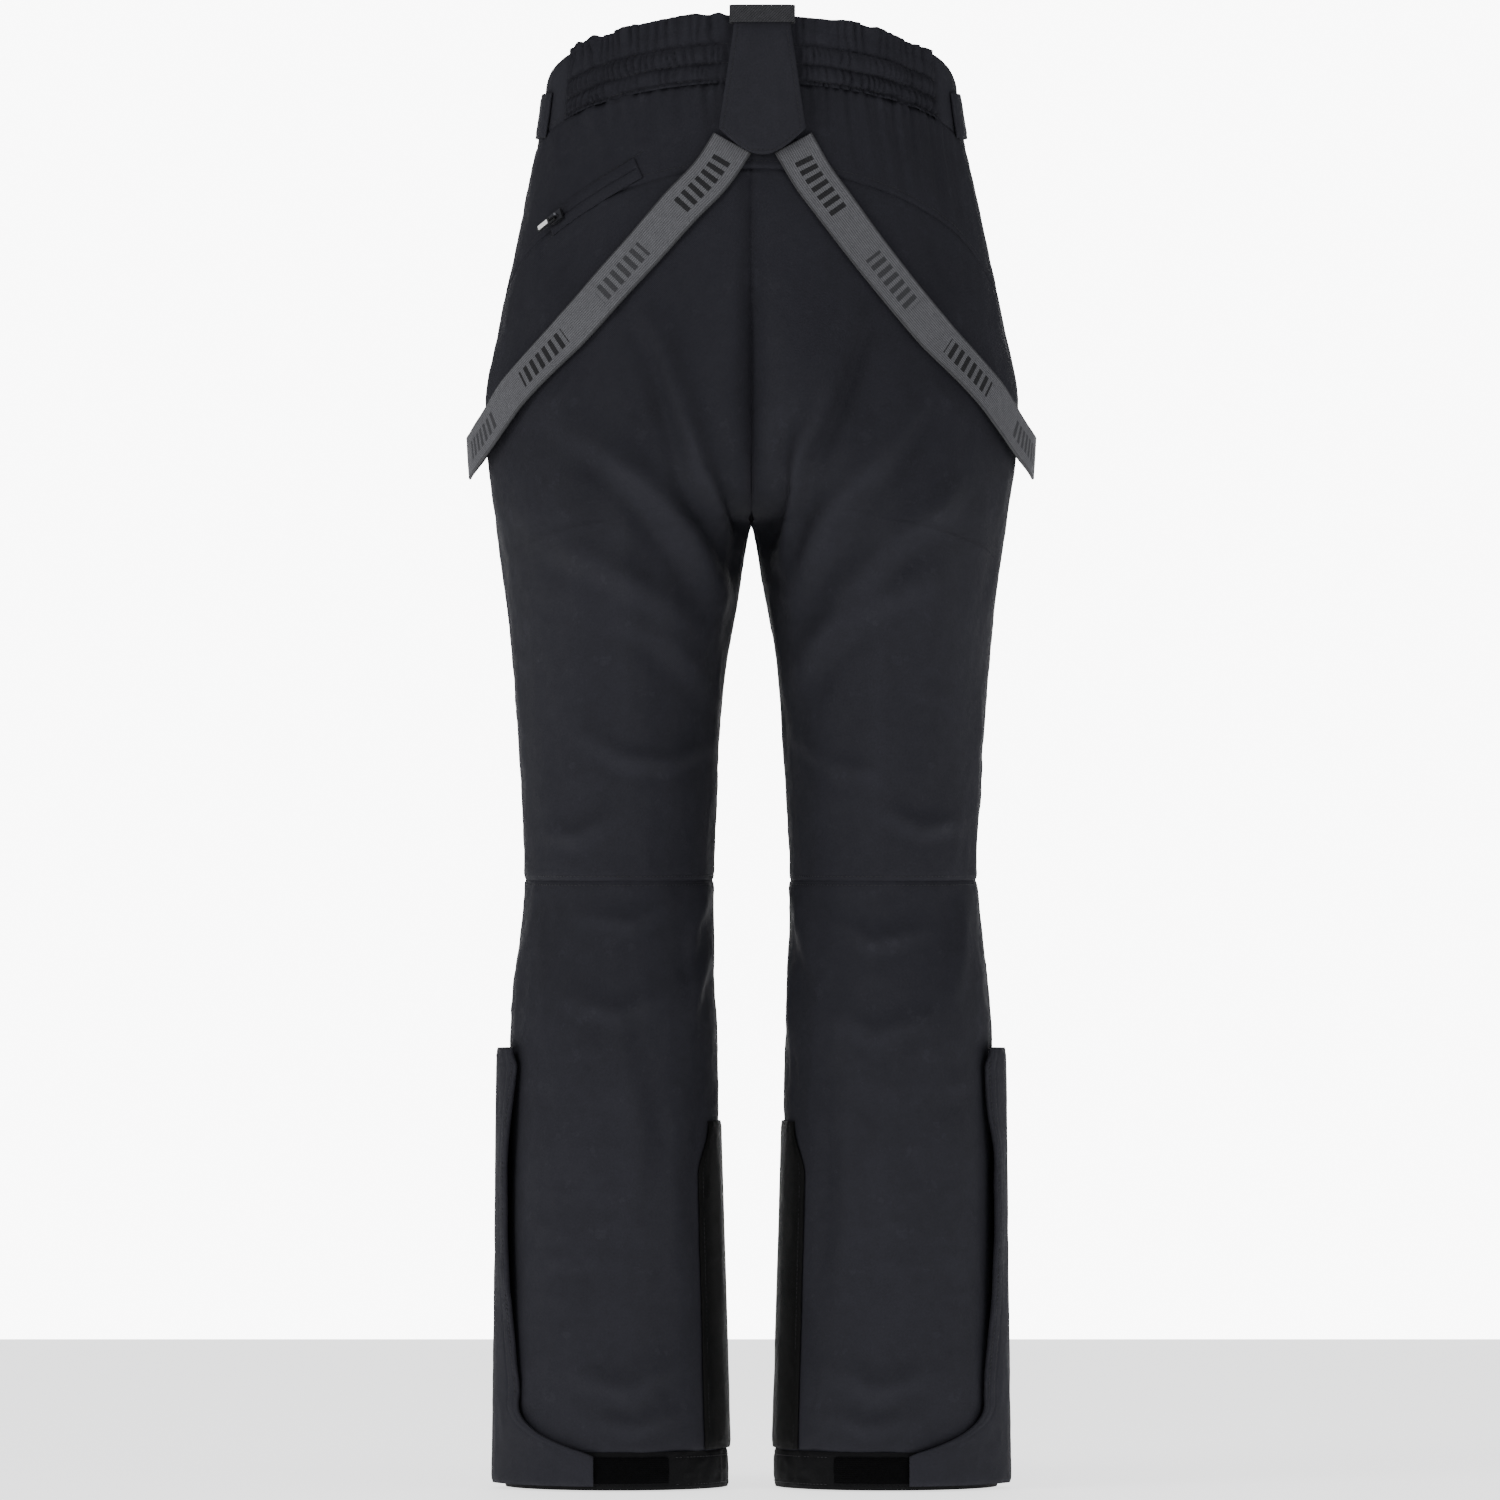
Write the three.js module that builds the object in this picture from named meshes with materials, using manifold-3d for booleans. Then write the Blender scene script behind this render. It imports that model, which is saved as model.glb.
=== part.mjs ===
// Insulated ski pants with suspenders, in millimetres, +Z up.
// The back faces -Y, the wearer's right leg lies towards +X, and the origin is the centre of the
// waist. Heights below are measured upwards from the hem; the whole group is lowered at the end.
import * as THREE from 'three';
import { mergeVertices } from 'three/addons/utils/BufferGeometryUtils.js';
import Module from 'manifold-3d';

const wasm = await Module();
wasm.setup();

const RIGHT = 1;
const LEFT = -1;
const deg = THREE.MathUtils.degToRad;
const lerp = THREE.MathUtils.lerp;
const smooth = THREE.MathUtils.smoothstep;

// Lengths up the leg.
const waistHeight = 1040;
const hipHeight = 803;
const crotchHeight = 715;
const kneeHeight = 449;
const zipHeight = 320;
const cuffHeight = 28;

// Half widths from the middle plane to the outside of the leg, and to its inside.
const waistSide = 152;
const yokeSide = 184;
const hipSide = 197;
const crotchSide = 190;
const thighSide = 175;
const kneeSide = 168;
const calfSide = 179;
const hemSide = 183;
const thighInside = 22;
const kneeInside = 28;
const calfInside = 26;
const hemInside = 17;

// Reach of the back and of the front from the side seam's plane.
const waistBack = 104;
const seatBack = 146;
const kneeBack = 90;
const hemBack = 94;
const waistFront = 104;
const bellyFront = 126;
const kneeFront = 92;
const hemFront = 76;

// Cloth, seams and clearances.
const shellThickness = 3;
const seamGap = 0.3;
const layGap = 0.9;
const ringStep = deg(15);
const rowStep = 45;

// Waistband.
const bandHeight = 50;
const backRise = 47;
const frontDrop = 20;
const casingEnd = deg(26);
const casingThickness = 2.2;
const elasticThickness = 1.6;
const facingThickness = 1.4;
const layerGap = 0.6;

// Yoke seam: its height at the side seams, and how far it climbs to the middle of the back.
const yokeSideHeight = 868;
const yokeClimb = 105;

// Suspenders.
const strapWidth = 32;
const strapThickness = 1.8;
const tabShift = 8;
const tabTopWidth = 41;
const tabFootWidth = 64;
const tabLength = 112;
const tabPoint = 20;
const tabThickness = 2.6;
const tabStandOff = 3.8;
const loopHeight = 13;
const loopWall = 1.4;
const loopSlack = 1.5;
const glideLength = 18;
const glideWall = 2.2;
const glideSlack = 1.1;
const glideSideSlack = 2;

// Zips.
const tapeWidth = 14;
const tapeThickness = 0.8;
const coilWidth = 5;
const coilHeight = 0.9;
const sliderWidth = 8;
const sliderLength = 13;
const sliderThickness = 2.2;
const sliderGap = 0.7;
const archWidth = 2;
const archSpan = 7.2;
const archWall = 1.2;
const archRise = 3.8;
const pullWidth = 5.2;
const pullLength = 18;
const pullThickness = 1.2;
const pullStand = sliderThickness + 1.2;

const group = new THREE.Group();
group.position.z = -waistHeight;

// ---------------------------------------------------------------- the body's shape

// Cross-sections of the right half, each an ellipse from its inside to its outside. Above the
// crotch the inside passes the middle plane, where the centre seams cut the ellipse off, and from
// wholeHeight up both halves share one ellipse.
const wholeHeight = hipHeight + 50;
const stations = [
  { z: 0, outside: hemSide, inside: hemInside, back: hemBack, front: hemFront },
  { z: zipHeight / 2, outside: (hemSide + calfSide) / 2, inside: (hemInside + calfInside) / 2,
    back: 100, front: 76 },
  { z: zipHeight + 10, outside: calfSide, inside: calfInside, back: 106, front: 76 },
  { z: kneeHeight, outside: kneeSide, inside: kneeInside, back: kneeBack, front: kneeFront },
  { z: kneeHeight + 134, outside: thighSide, inside: thighInside, back: 98, front: 110 },
  { z: crotchHeight - 35, outside: crotchSide - 5, inside: 7, back: 119, front: 119 },
  { z: crotchHeight, outside: crotchSide, inside: seamGap / 2, back: 130, front: 122 },
  { z: crotchHeight + 22, outside: crotchSide + 3, inside: -28, back: seatBack - 10,
    front: bellyFront - 2 },
  { z: crotchHeight + 50, outside: crotchSide + 6, inside: -85, back: seatBack - 4,
    front: bellyFront - 1 },
  { z: hipHeight, outside: hipSide, inside: -155, back: seatBack, front: bellyFront },
  { z: wholeHeight, outside: yokeSide + 4, inside: -yokeSide - 4, back: seatBack - 3,
    front: bellyFront - 4 },
  { z: waistHeight - 90, outside: waistSide + 16, inside: -waistSide - 16, back: 122, front: 112 },
  { z: waistHeight - 17, outside: waistSide + 2, inside: -waistSide - 2,
    back: waistBack, front: waistFront },
  { z: waistHeight + 60, outside: waistSide - 5, inside: -waistSide + 5,
    back: waistBack - 9, front: waistFront - 5 },
];

// Value of one measure at a height: a cubic through the stations.
function measure(name, z) {
  const last = stations.length - 2;
  const found = stations.findIndex((station) => station.z > z) - 1;
  const i = found < -1 ? last : Math.max(found, 0);
  const low = stations[i];
  const high = stations[i + 1];
  const before = stations[Math.max(i - 1, 0)];
  const after = stations[Math.min(i + 2, last + 1)];
  const span = high.z - low.z;
  const rise = (high[name] - low[name]) / span;
  const steady = (a, b) => (a * b <= 0 ? 0 : (2 * a * b) / (a + b));
  const riseBefore = i > 0 ? (low[name] - before[name]) / (low.z - before.z) : rise;
  const riseAfter = i < last ? (after[name] - high[name]) / (after.z - high.z) : rise;
  const startSlope = steady(riseBefore, rise);
  const endSlope = steady(rise, riseAfter);
  const t = THREE.MathUtils.clamp((z - low.z) / span, 0, 1);
  const bend = t * (1 - t) * span * ((1 - t) * (startSlope - rise) - t * (endSlope - rise));
  return lerp(low[name], high[name], t) + bend;
}

function sectionAt(z) {
  const outside = measure('outside', z);
  const inside = z > wholeHeight ? -outside : measure('inside', z);
  const back = measure('back', z);
  const front = measure('front', z);
  return {
    centre: (outside + inside) / 2,
    halfWidth: (outside - inside) / 2,
    middle: (front - back) / 2,
    halfDepth: (front + back) / 2,
  };
}

// A point on the body: angle 0 is the side, +90 degrees the back, -90 the front, 180 the inseam.
function bodyPoint(side, angle, z, offset) {
  const section = sectionAt(z);
  return new THREE.Vector3(
    side * (section.centre + (section.halfWidth + offset) * Math.cos(angle)),
    section.middle - (section.halfDepth + offset) * Math.sin(angle),
    z,
  );
}

// The body's outward normal at a point.
function bodyNormal(side, angle, z) {
  const turn = 0.01;
  const here = bodyPoint(side, angle, z, 0);
  const along = bodyPoint(side, angle + turn, z, 0).sub(here);
  const up = bodyPoint(side, angle, z + 1, 0).sub(here);
  return along.cross(up).normalize().multiplyScalar(-side);
}

// Angle at which a panel meets the centre seam above the crotch, or the inseam below it.
function centreAngle(z, offset) {
  const section = sectionAt(z);
  const toPlane = (seamGap / 2 - section.centre) / (section.halfWidth + offset);
  const atPlane = Math.acos(THREE.MathUtils.clamp(toPlane, -1, 1));
  const atInseam = Math.PI - Math.asin(seamGap / 2 / (section.halfDepth + offset));
  return Math.min(atPlane, atInseam);
}

function sideAngle(z, offset) {
  return Math.asin(seamGap / 2 / (sectionAt(z).halfDepth + offset));
}

function bandTop(angle) {
  return waistHeight + (angle > 0 ? backRise : frontDrop) * Math.sin(angle);
}

function bandFoot(angle) {
  return bandTop(angle) - bandHeight;
}

function yokeSeam(angle) {
  return yokeSideHeight + yokeClimb * Math.sin(Math.abs(angle)) ** 0.8;
}

// ---------------------------------------------------------------- makers of solids

const colours = {
  shell: 0x26262b,
  lining: 0x2e3036,
  guard: 0x151515,
  webbing: 0x4b4b4d,
  plastic: 0x101012,
  pull: 0xe8e8e6,
  metal: 0x3a3a3d,
};

function add(name, geometry, colour, roughness = 0.9, metalness = 0) {
  const material = new THREE.MeshStandardMaterial({ color: colour, roughness, metalness });
  const mesh = new THREE.Mesh(geometry, material);
  mesh.name = name;
  group.add(mesh);
  return mesh;
}

function both(make) {
  make(RIGHT, 'right');
  make(LEFT, 'left');
}

// Turns the faces of a closed mesh outwards and merges its shared vertices.
function closeSolid(positions, faces) {
  let geometry = new THREE.BufferGeometry();
  geometry.setAttribute('position', new THREE.Float32BufferAttribute(positions, 3));
  geometry.setIndex(faces);
  geometry = mergeVertices(geometry, 1e-3);
  const index = geometry.index.array;
  const place = geometry.attributes.position;
  const corners = [new THREE.Vector3(), new THREE.Vector3(), new THREE.Vector3()];
  const kept = [];
  let volume = 0;
  for (let i = 0; i < index.length; i += 3) {
    const [a, b, c] = [index[i], index[i + 1], index[i + 2]];
    if (a !== b && b !== c && c !== a) {
      kept.push(a, b, c);
      [a, b, c].forEach((vertex, corner) => corners[corner].fromBufferAttribute(place, vertex));
      volume += corners[0].dot(corners[1].clone().cross(corners[2]));
    }
  }
  if (volume < 0) {
    kept.reverse();
  }
  geometry.setIndex(kept);
  geometry.computeVertexNormals();
  return geometry;
}

// A closed sheet between two grids of points. place(u, v, outer) gives one point.
function sheet(columns, rows, place, closed = false) {
  const positions = [];
  const faces = [];
  const width = columns + 1;
  const layer = width * (rows + 1);
  for (const outer of [false, true]) {
    for (let row = 0; row <= rows; row += 1) {
      for (let column = 0; column <= columns; column += 1) {
        positions.push(...place(column / columns, row / rows, outer).toArray());
      }
    }
  }
  const quad = (a, b, c, d) => faces.push(a, b, c, a, c, d);
  for (let row = 0; row < rows; row += 1) {
    for (let column = 0; column < columns; column += 1) {
      const at = row * width + column;
      quad(at, at + width, at + width + 1, at + 1);
      quad(layer + at, layer + at + 1, layer + at + width + 1, layer + at + width);
    }
  }
  for (let column = 0; column < columns; column += 1) {
    const top = rows * width + column;
    quad(column, column + 1, layer + column + 1, layer + column);
    quad(top + 1, top, layer + top, layer + top + 1);
  }
  for (let row = 0; !closed && row < rows; row += 1) {
    const start = row * width;
    const end = start + columns;
    quad(start + width, start, layer + start, layer + start + width);
    quad(end, end + width, layer + end + width, layer + end);
  }
  return closeSolid(positions, faces);
}

// A patch of cloth that follows the body. angle(u, z) and height(u, v) place it, low(u, v) and
// high(u, v) are how far its two faces stand off the body.
function patch(side, columns, rows, { angle, height, low, high, closed = false }) {
  return sheet(columns, rows, (u, v, outer) => {
    const z = height(u, v);
    const offset = outer ? high(u, v) : low(u, v);
    return bodyPoint(side, angle(u, z, offset), z, offset);
  }, closed);
}

function even(low, high) {
  return { low: () => low, high: () => high };
}

// A bar of constant section along a list of frames { at, across, out }, capped at both ends.
function sweep(frames, section) {
  const positions = [];
  const faces = [];
  for (const { at, across, out } of frames) {
    for (const [x, y] of section) {
      positions.push(...at.clone().addScaledVector(across, x).addScaledVector(out, y).toArray());
    }
  }
  const count = section.length;
  for (let step = 0; step < frames.length - 1; step += 1) {
    for (let i = 0; i < count; i += 1) {
      const a = step * count + i;
      const b = step * count + ((i + 1) % count);
      faces.push(a, b, b + count, a, b + count, a + count);
    }
  }
  const outline = section.map(([x, y]) => new THREE.Vector2(x, y));
  const last = (frames.length - 1) * count;
  for (const [a, b, c] of THREE.ShapeUtils.triangulateShape(outline, [])) {
    faces.push(a, c, b, last + a, last + b, last + c);
  }
  return closeSolid(positions, faces);
}

// Frames along a path given as points on the body: { angle, z, offset }.
function framesAlong(side, points) {
  const places = points.map(({ angle, z, offset }) => bodyPoint(side, angle, z, offset));
  return places.map((at, i) => {
    const from = places[Math.max(i - 1, 0)];
    const to = places[Math.min(i + 1, places.length - 1)];
    const forward = to.clone().sub(from).normalize();
    const out = bodyNormal(side, points[i].angle, points[i].z);
    out.addScaledVector(forward, -out.dot(forward)).normalize();
    return { at, forward, out, across: forward.clone().cross(out).normalize() };
  });
}

function rectangle(width, low, high) {
  return [[-width / 2, low], [width / 2, low], [width / 2, high], [-width / 2, high]];
}

function toManifold(geometry) {
  const bare = geometry.clone();
  bare.deleteAttribute('normal');
  bare.deleteAttribute('uv');
  const merged = mergeVertices(bare, 1e-4);
  return new wasm.Manifold(new wasm.Mesh({
    numProp: 3,
    vertProperties: new Float32Array(merged.attributes.position.array),
    triVerts: new Uint32Array(merged.index.array),
  }));
}

function fromManifold(solid) {
  const mesh = solid.getMesh();
  const geometry = new THREE.BufferGeometry();
  geometry.setAttribute('position', new THREE.Float32BufferAttribute(mesh.vertProperties, 3));
  geometry.setIndex(Array.from(mesh.triVerts));
  geometry.computeVertexNormals();
  return geometry;
}

function join(first, second) {
  return fromManifold(toManifold(first).add(toManifold(second)));
}

function extrude(shape, depth) {
  return new THREE.ExtrudeGeometry(shape, { depth, bevelEnabled: false, curveSegments: 5 });
}

// Sets a mesh made in its own frame (x across, y out, z forward) at a frame on the body.
function seat(mesh, { at, across, out }) {
  const forward = across.clone().cross(out);
  mesh.matrixAutoUpdate = false;
  mesh.matrix.makeBasis(across, out, forward).setPosition(at);
  return mesh;
}

// ---------------------------------------------------------------- the shell

// One panel of a leg, from the side seam to the centre seam. face is +1 behind and -1 in front.
function legPanel(side, face, rows, foot, top) {
  return patch(side, 12, rows, {
    angle: (u, z, offset) => face * lerp(sideAngle(z, offset), centreAngle(z, offset), u),
    height: (u, v) => {
      const angle = (face * u * Math.PI) / 2;
      return lerp(foot(angle), top(angle), v);
    },
    ...even(-shellThickness, 0),
  });
}

function addShell() {
  const atKnee = (gap) => () => kneeHeight + gap;
  const atCuff = () => cuffHeight + seamGap;
  both((side, hand) => {
    const thighRows = Math.round((waistHeight - kneeHeight) / rowStep);
    const thighFoot = atKnee(seamGap / 2);
    const calfTop = atKnee(-seamGap / 2);
    const thighTop = (angle) => yokeSeam(angle) - seamGap;
    const frontTop = (angle) => bandFoot(angle) - seamGap;
    add(`back_thigh_${hand}`, legPanel(side, 1, thighRows, thighFoot, thighTop), colours.shell);
    add(`front_thigh_${hand}`, legPanel(side, -1, thighRows, thighFoot, frontTop), colours.shell);
    add(`calf_${hand}`, legPanel(side, 1, 8, atCuff, calfTop), colours.shell);
    add(`shin_${hand}`, legPanel(side, -1, 8, atCuff, calfTop), colours.shell);
  });
  const seamAngle = sideAngle(waistHeight, 0);
  const yokeRows = Math.round((waistHeight - bandHeight - yokeSideHeight) / rowStep);
  const yoke = patch(RIGHT, 24, yokeRows, {
    angle: (u) => lerp(seamAngle, Math.PI - seamAngle, u),
    height: (u, v) => {
      const angle = lerp(seamAngle, Math.PI - seamAngle, u);
      return lerp(yokeSeam(angle), bandFoot(angle) - seamGap, v);
    },
    ...even(-shellThickness, 0),
  });
  add('back_yoke', yoke, colours.shell);
}

// ---------------------------------------------------------------- the waistband

// A strip of the waistband between two angles, lowered and raised from its own edges.
function bandStrip(from, to, inset, low, high) {
  const columns = Math.max(2, Math.round(Math.abs(to - from) / (ringStep / 2)));
  return patch(RIGHT, columns, 1, {
    angle: (u) => lerp(from, to, u),
    height: (u, v) => {
      const angle = lerp(from, to, u);
      const bent = Math.atan2(Math.sin(angle), Math.abs(Math.cos(angle)));
      return lerp(bandFoot(bent) + inset, bandTop(bent) - inset, v);
    },
    ...even(low, high),
  });
}

function addWaistband() {
  const seam = seamGap / waistSide;
  const frontEnd = deg(-90) + seam;
  const back = bandStrip(casingEnd, Math.PI - casingEnd, 0, -casingThickness, 0);
  add('waistband_back', back, colours.shell);
  const right = bandStrip(frontEnd, casingEnd - seam, 0, -casingThickness, 0);
  const left = bandStrip(Math.PI - casingEnd + seam, Math.PI - frontEnd, 0, -casingThickness, 0);
  add('waistband_front_right', right, colours.shell);
  add('waistband_front_left', left, colours.shell);
  const elasticOut = -casingThickness - layerGap;
  const elasticIn = elasticOut - elasticThickness;
  const elastic = bandStrip(casingEnd, Math.PI - casingEnd, 6, elasticIn, elasticOut);
  add('waist_elastic', elastic, colours.lining);
  const facingOut = elasticIn - layerGap;
  const facing = bandStrip(frontEnd, Math.PI - frontEnd, 1, facingOut - facingThickness, facingOut);
  add('waistband_facing', facing, colours.lining);
}

// ---------------------------------------------------------------- zips

const coilTop = layGap + tapeThickness + coilHeight;

function zipSection() {
  const half = tapeWidth / 2;
  const coil = coilWidth / 2;
  const tapeTop = layGap + tapeThickness;
  return [[-half, layGap], [half, layGap], [half, tapeTop], [coil, tapeTop], [coil, coilTop],
    [-coil, coilTop], [-coil, tapeTop], [-half, tapeTop]];
}

// Points of a zip's line from its top end to its foot.
function zipLine(top, foot, steps) {
  const points = [];
  for (let i = 0; i <= steps; i += 1) {
    const t = i / steps;
    points.push({
      angle: lerp(top.angle, foot.angle, t),
      z: lerp(top.z, foot.z, t),
      offset: 0,
    });
  }
  return points;
}

// The slider's tapered plate, its narrow nose towards the zip's closed end.
function sliderPlate(nose) {
  const half = sliderWidth / 2;
  const end = sliderLength / 2;
  const shape = new THREE.Shape();
  shape.moveTo(-half, -nose * end);
  shape.lineTo(half, -nose * end);
  shape.lineTo(half, nose * end / 2);
  shape.lineTo(half * 0.6, nose * end);
  shape.lineTo(-half * 0.6, nose * end);
  shape.lineTo(-half, nose * end / 2);
  const plate = extrude(shape, sliderThickness);
  plate.rotateX(Math.PI / 2);
  plate.translate(0, sliderThickness, 0);
  return plate;
}

// A slider with the arch that carries its pull: x across the zip, y out of it, z down the zip.
function sliderSolid(nose) {
  const half = archSpan / 2;
  const sunk = -0.6;
  const arch = new THREE.Shape();
  arch.moveTo(-half, sunk);
  arch.lineTo(-half, archRise - archWall);
  arch.lineTo(-half + archWall, archRise);
  arch.lineTo(half - archWall, archRise);
  arch.lineTo(half, archRise - archWall);
  arch.lineTo(half, sunk);
  const opening = new THREE.Path();
  opening.moveTo(-half + archWall, 0);
  opening.lineTo(half - archWall, 0);
  opening.lineTo(half - archWall, archRise - archWall);
  opening.lineTo(-half + archWall, archRise - archWall);
  arch.holes.push(opening);
  const bridge = extrude(arch, archWidth);
  bridge.translate(0, 0, -archWidth / 2);
  bridge.rotateY(-Math.PI / 2);
  bridge.translate(0, sliderThickness, 0);
  return join(sliderPlate(nose), bridge);
}

// A pull whose cross bar lies under the slider's arch, hanging along +z from the origin.
function pullSolid() {
  const half = pullWidth / 2;
  const bar = 0.7;
  const window = archWidth / 2 + 0.5;
  const reach = archSpan / 2 + 1.4;
  const shape = new THREE.Shape();
  shape.moveTo(-half, -bar);
  shape.lineTo(half, -bar);
  shape.lineTo(half, pullLength - half);
  shape.absarc(0, pullLength - half, half, 0, Math.PI, false);
  shape.lineTo(-half, -bar);
  const hole = new THREE.Path();
  hole.moveTo(-window, bar);
  hole.lineTo(window, bar);
  hole.lineTo(window, reach);
  hole.lineTo(-window, reach);
  shape.holes.push(hole);
  const pull = extrude(shape, pullThickness);
  pull.rotateX(Math.PI / 2);
  pull.translate(0, pullThickness / 2, 0);
  return pull;
}

// Frame of a slider a little in from the top end of a zip. Its z axis runs the way the pull lies:
// towards the foot of the zip when hang is 1, and away from it when hang is -1.
function sliderFrame(side, top, foot, hang) {
  const frames = framesAlong(side, zipLine(top, foot, 24));
  const { at, out, forward } = frames[2];
  return {
    at: at.clone().addScaledVector(out, coilTop + sliderGap),
    out,
    across: out.clone().cross(forward).multiplyScalar(hang),
  };
}

function addZip(name, side, top, foot, steps) {
  const tape = framesAlong(side, zipLine(top, foot, steps));
  add(name, sweep(tape, zipSection()), colours.guard, 0.7);
}

function addSliderAndPull(prefix, suffix, side, top, foot, hang = 1) {
  const frame = sliderFrame(side, top, foot, hang);
  const slider = add(`${prefix}_slider${suffix}`, sliderSolid(-hang), colours.metal, 0.4, 0.8);
  seat(slider, frame);
  const pull = add(`${prefix}_pull${suffix}`, pullSolid(), colours.pull, 0.5);
  seat(pull, { ...frame, at: frame.at.clone().addScaledVector(frame.out, pullStand) });
}

// Zips and pocket bags are placed by their distance below the waist.
const bagThickness = 1.4;
const bagOut = shellThickness + 2.1;
const handPocketTop = { angle: deg(-30), z: waistHeight - 90 };
const handPocketFoot = { angle: deg(-17), z: waistHeight - 198 };
const handBag = { from: deg(-10), to: deg(-62), foot: waistHeight - 265, top: waistHeight - 100 };
const backPocketTop = { angle: deg(32), z: waistHeight - 106 };
const backPocketFoot = { angle: deg(58), z: waistHeight - 68 };
const backBag = { from: deg(22), to: deg(66), foot: waistHeight - 230, top: waistHeight - 115 };

function addBag(name, side, { from, to, foot, top }) {
  const bag = patch(side, 10, 3, {
    angle: (u) => lerp(from, to, u),
    height: (u, v) => lerp(foot, top, v),
    ...even(-bagOut - bagThickness, -bagOut),
  });
  add(name, bag, colours.lining);
}

function addPockets() {
  both((side, hand) => {
    addZip(`hand_pocket_zip_${hand}`, side, handPocketTop, handPocketFoot, 10);
    addSliderAndPull('hand_pocket', `_${hand}`, side, handPocketTop, handPocketFoot);
    addBag(`hand_pocket_bag_${hand}`, side, handBag);
  });
  addZip('back_pocket_zip', LEFT, backPocketTop, backPocketFoot, 10);
  addSliderAndPull('back_pocket', '', LEFT, backPocketTop, backPocketFoot, -1);
  addBag('back_pocket_bag', LEFT, backBag);
}

// ---------------------------------------------------------------- front closure

const centreFront = deg(-90);
const flyTop = { angle: centreFront, z: waistHeight - 78 };
const flyFoot = { angle: centreFront, z: waistHeight - 182 };
const shieldHalf = deg(8);
const shieldThickness = 1.4;
const closureFrom = deg(-101);
const closureTo = deg(-74);
const closureFoot = waistHeight - 63;
const closureTop = waistHeight - 25;
const closureThickness = 2.4;
const snapAngle = deg(-80);
const snapInset = 10;
const snapRadius = 7;
const snapRim = 0.8;
const snapHeight = 2.4;

function addClosure() {
  addZip('fly_zip', RIGHT, flyTop, flyFoot, 6);
  addSliderAndPull('fly', '', RIGHT, flyTop, flyFoot);
  const shieldTop = bandFoot(centreFront) - 4;
  const shieldOut = -shellThickness - layerGap;
  const shield = patch(RIGHT, 4, 4, {
    angle: (u) => lerp(centreFront - shieldHalf, centreFront + shieldHalf, u),
    height: (u, v) => lerp(flyFoot.z - 8, shieldTop, v),
    ...even(shieldOut - shieldThickness, shieldOut),
  });
  add('fly_shield', shield, colours.lining);
  const tab = patch(RIGHT, 6, 2, {
    angle: (u) => lerp(closureFrom, closureTo, u),
    height: (u, v) => lerp(closureFoot, closureTop, v),
    ...even(layGap, layGap + closureThickness),
  });
  add('closure_tab', tab, colours.shell);
  const shoulder = [snapRadius - 1.4, snapHeight - 0.4];
  const cap = [[0, 0], [snapRadius, 0], [snapRadius, snapRim], shoulder, [0, snapHeight]];
  const spots = { lower: closureFoot + snapInset, upper: closureTop - snapInset };
  for (const [name, z] of Object.entries(spots)) {
    const profile = new THREE.LatheGeometry(cap.map(([x, y]) => new THREE.Vector2(x, y)), 16);
    const out = bodyNormal(RIGHT, snapAngle, z);
    const at = bodyPoint(RIGHT, snapAngle, z, layGap + closureThickness + seamGap);
    const across = new THREE.Vector3(0, 0, 1).cross(out).normalize();
    seat(add(`snap_cap_${name}`, profile, colours.metal, 0.4, 0.8), { at, across, out });
  }
}

// ---------------------------------------------------------------- belt loops and side adjusters

const beltGap = 6.6;
const beltAngle = deg(-47);
const beltHalf = deg(2.6);

function addBeltLoops() {
  both((side, hand) => {
    const foot = bandFoot(beltAngle) + 3;
    const top = bandTop(beltAngle) - 1;
    const bow = (v) => layGap + beltGap * Math.min(1, Math.sin(Math.PI * v) * 1.8);
    const loop = patch(side, 1, 10, {
      angle: (u) => lerp(beltAngle - beltHalf, beltAngle + beltHalf, u),
      height: (u, v) => lerp(foot, top, v),
      low: (u, v) => bow(v),
      high: (u, v) => bow(v) + loopWall,
    });
    add(`belt_loop_front_${hand}`, loop, colours.guard);
  });
}

const adjusterSewn = deg(17);
const adjusterFree = deg(-23);
const adjusterFoot = waistHeight - 41;
const adjusterTop = waistHeight - 8;
const adjusterThickness = 2.2;

function addSideAdjusters() {
  both((side, hand) => {
    const tab = patch(side, 8, 2, {
      angle: (u) => lerp(adjusterSewn, adjusterFree, u),
      height: (u, v) => lerp(adjusterFoot, adjusterTop, v),
      ...even(layGap, layGap + adjusterThickness),
    });
    add(`side_adjuster_${hand}`, tab, colours.shell);
  });
}

// ---------------------------------------------------------------- suspenders

// Line down the middle of the back on which the tab lies flat.
const tabTopHeight = waistHeight + backRise + 6;
const tabInset = 20;
const lineTop = bodyPoint(RIGHT, deg(90), tabTopHeight - tabInset, 0);
const lineFoot = bodyPoint(RIGHT, deg(90), tabTopHeight - tabLength, 0);
const tabDown = lineFoot.clone().sub(lineTop).normalize();
const tabAcross = new THREE.Vector3(1, 0, 0);
const tabOut = tabDown.clone().cross(tabAcross);
const tabHead = lineTop.clone().addScaledVector(tabDown, -tabInset);

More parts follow.
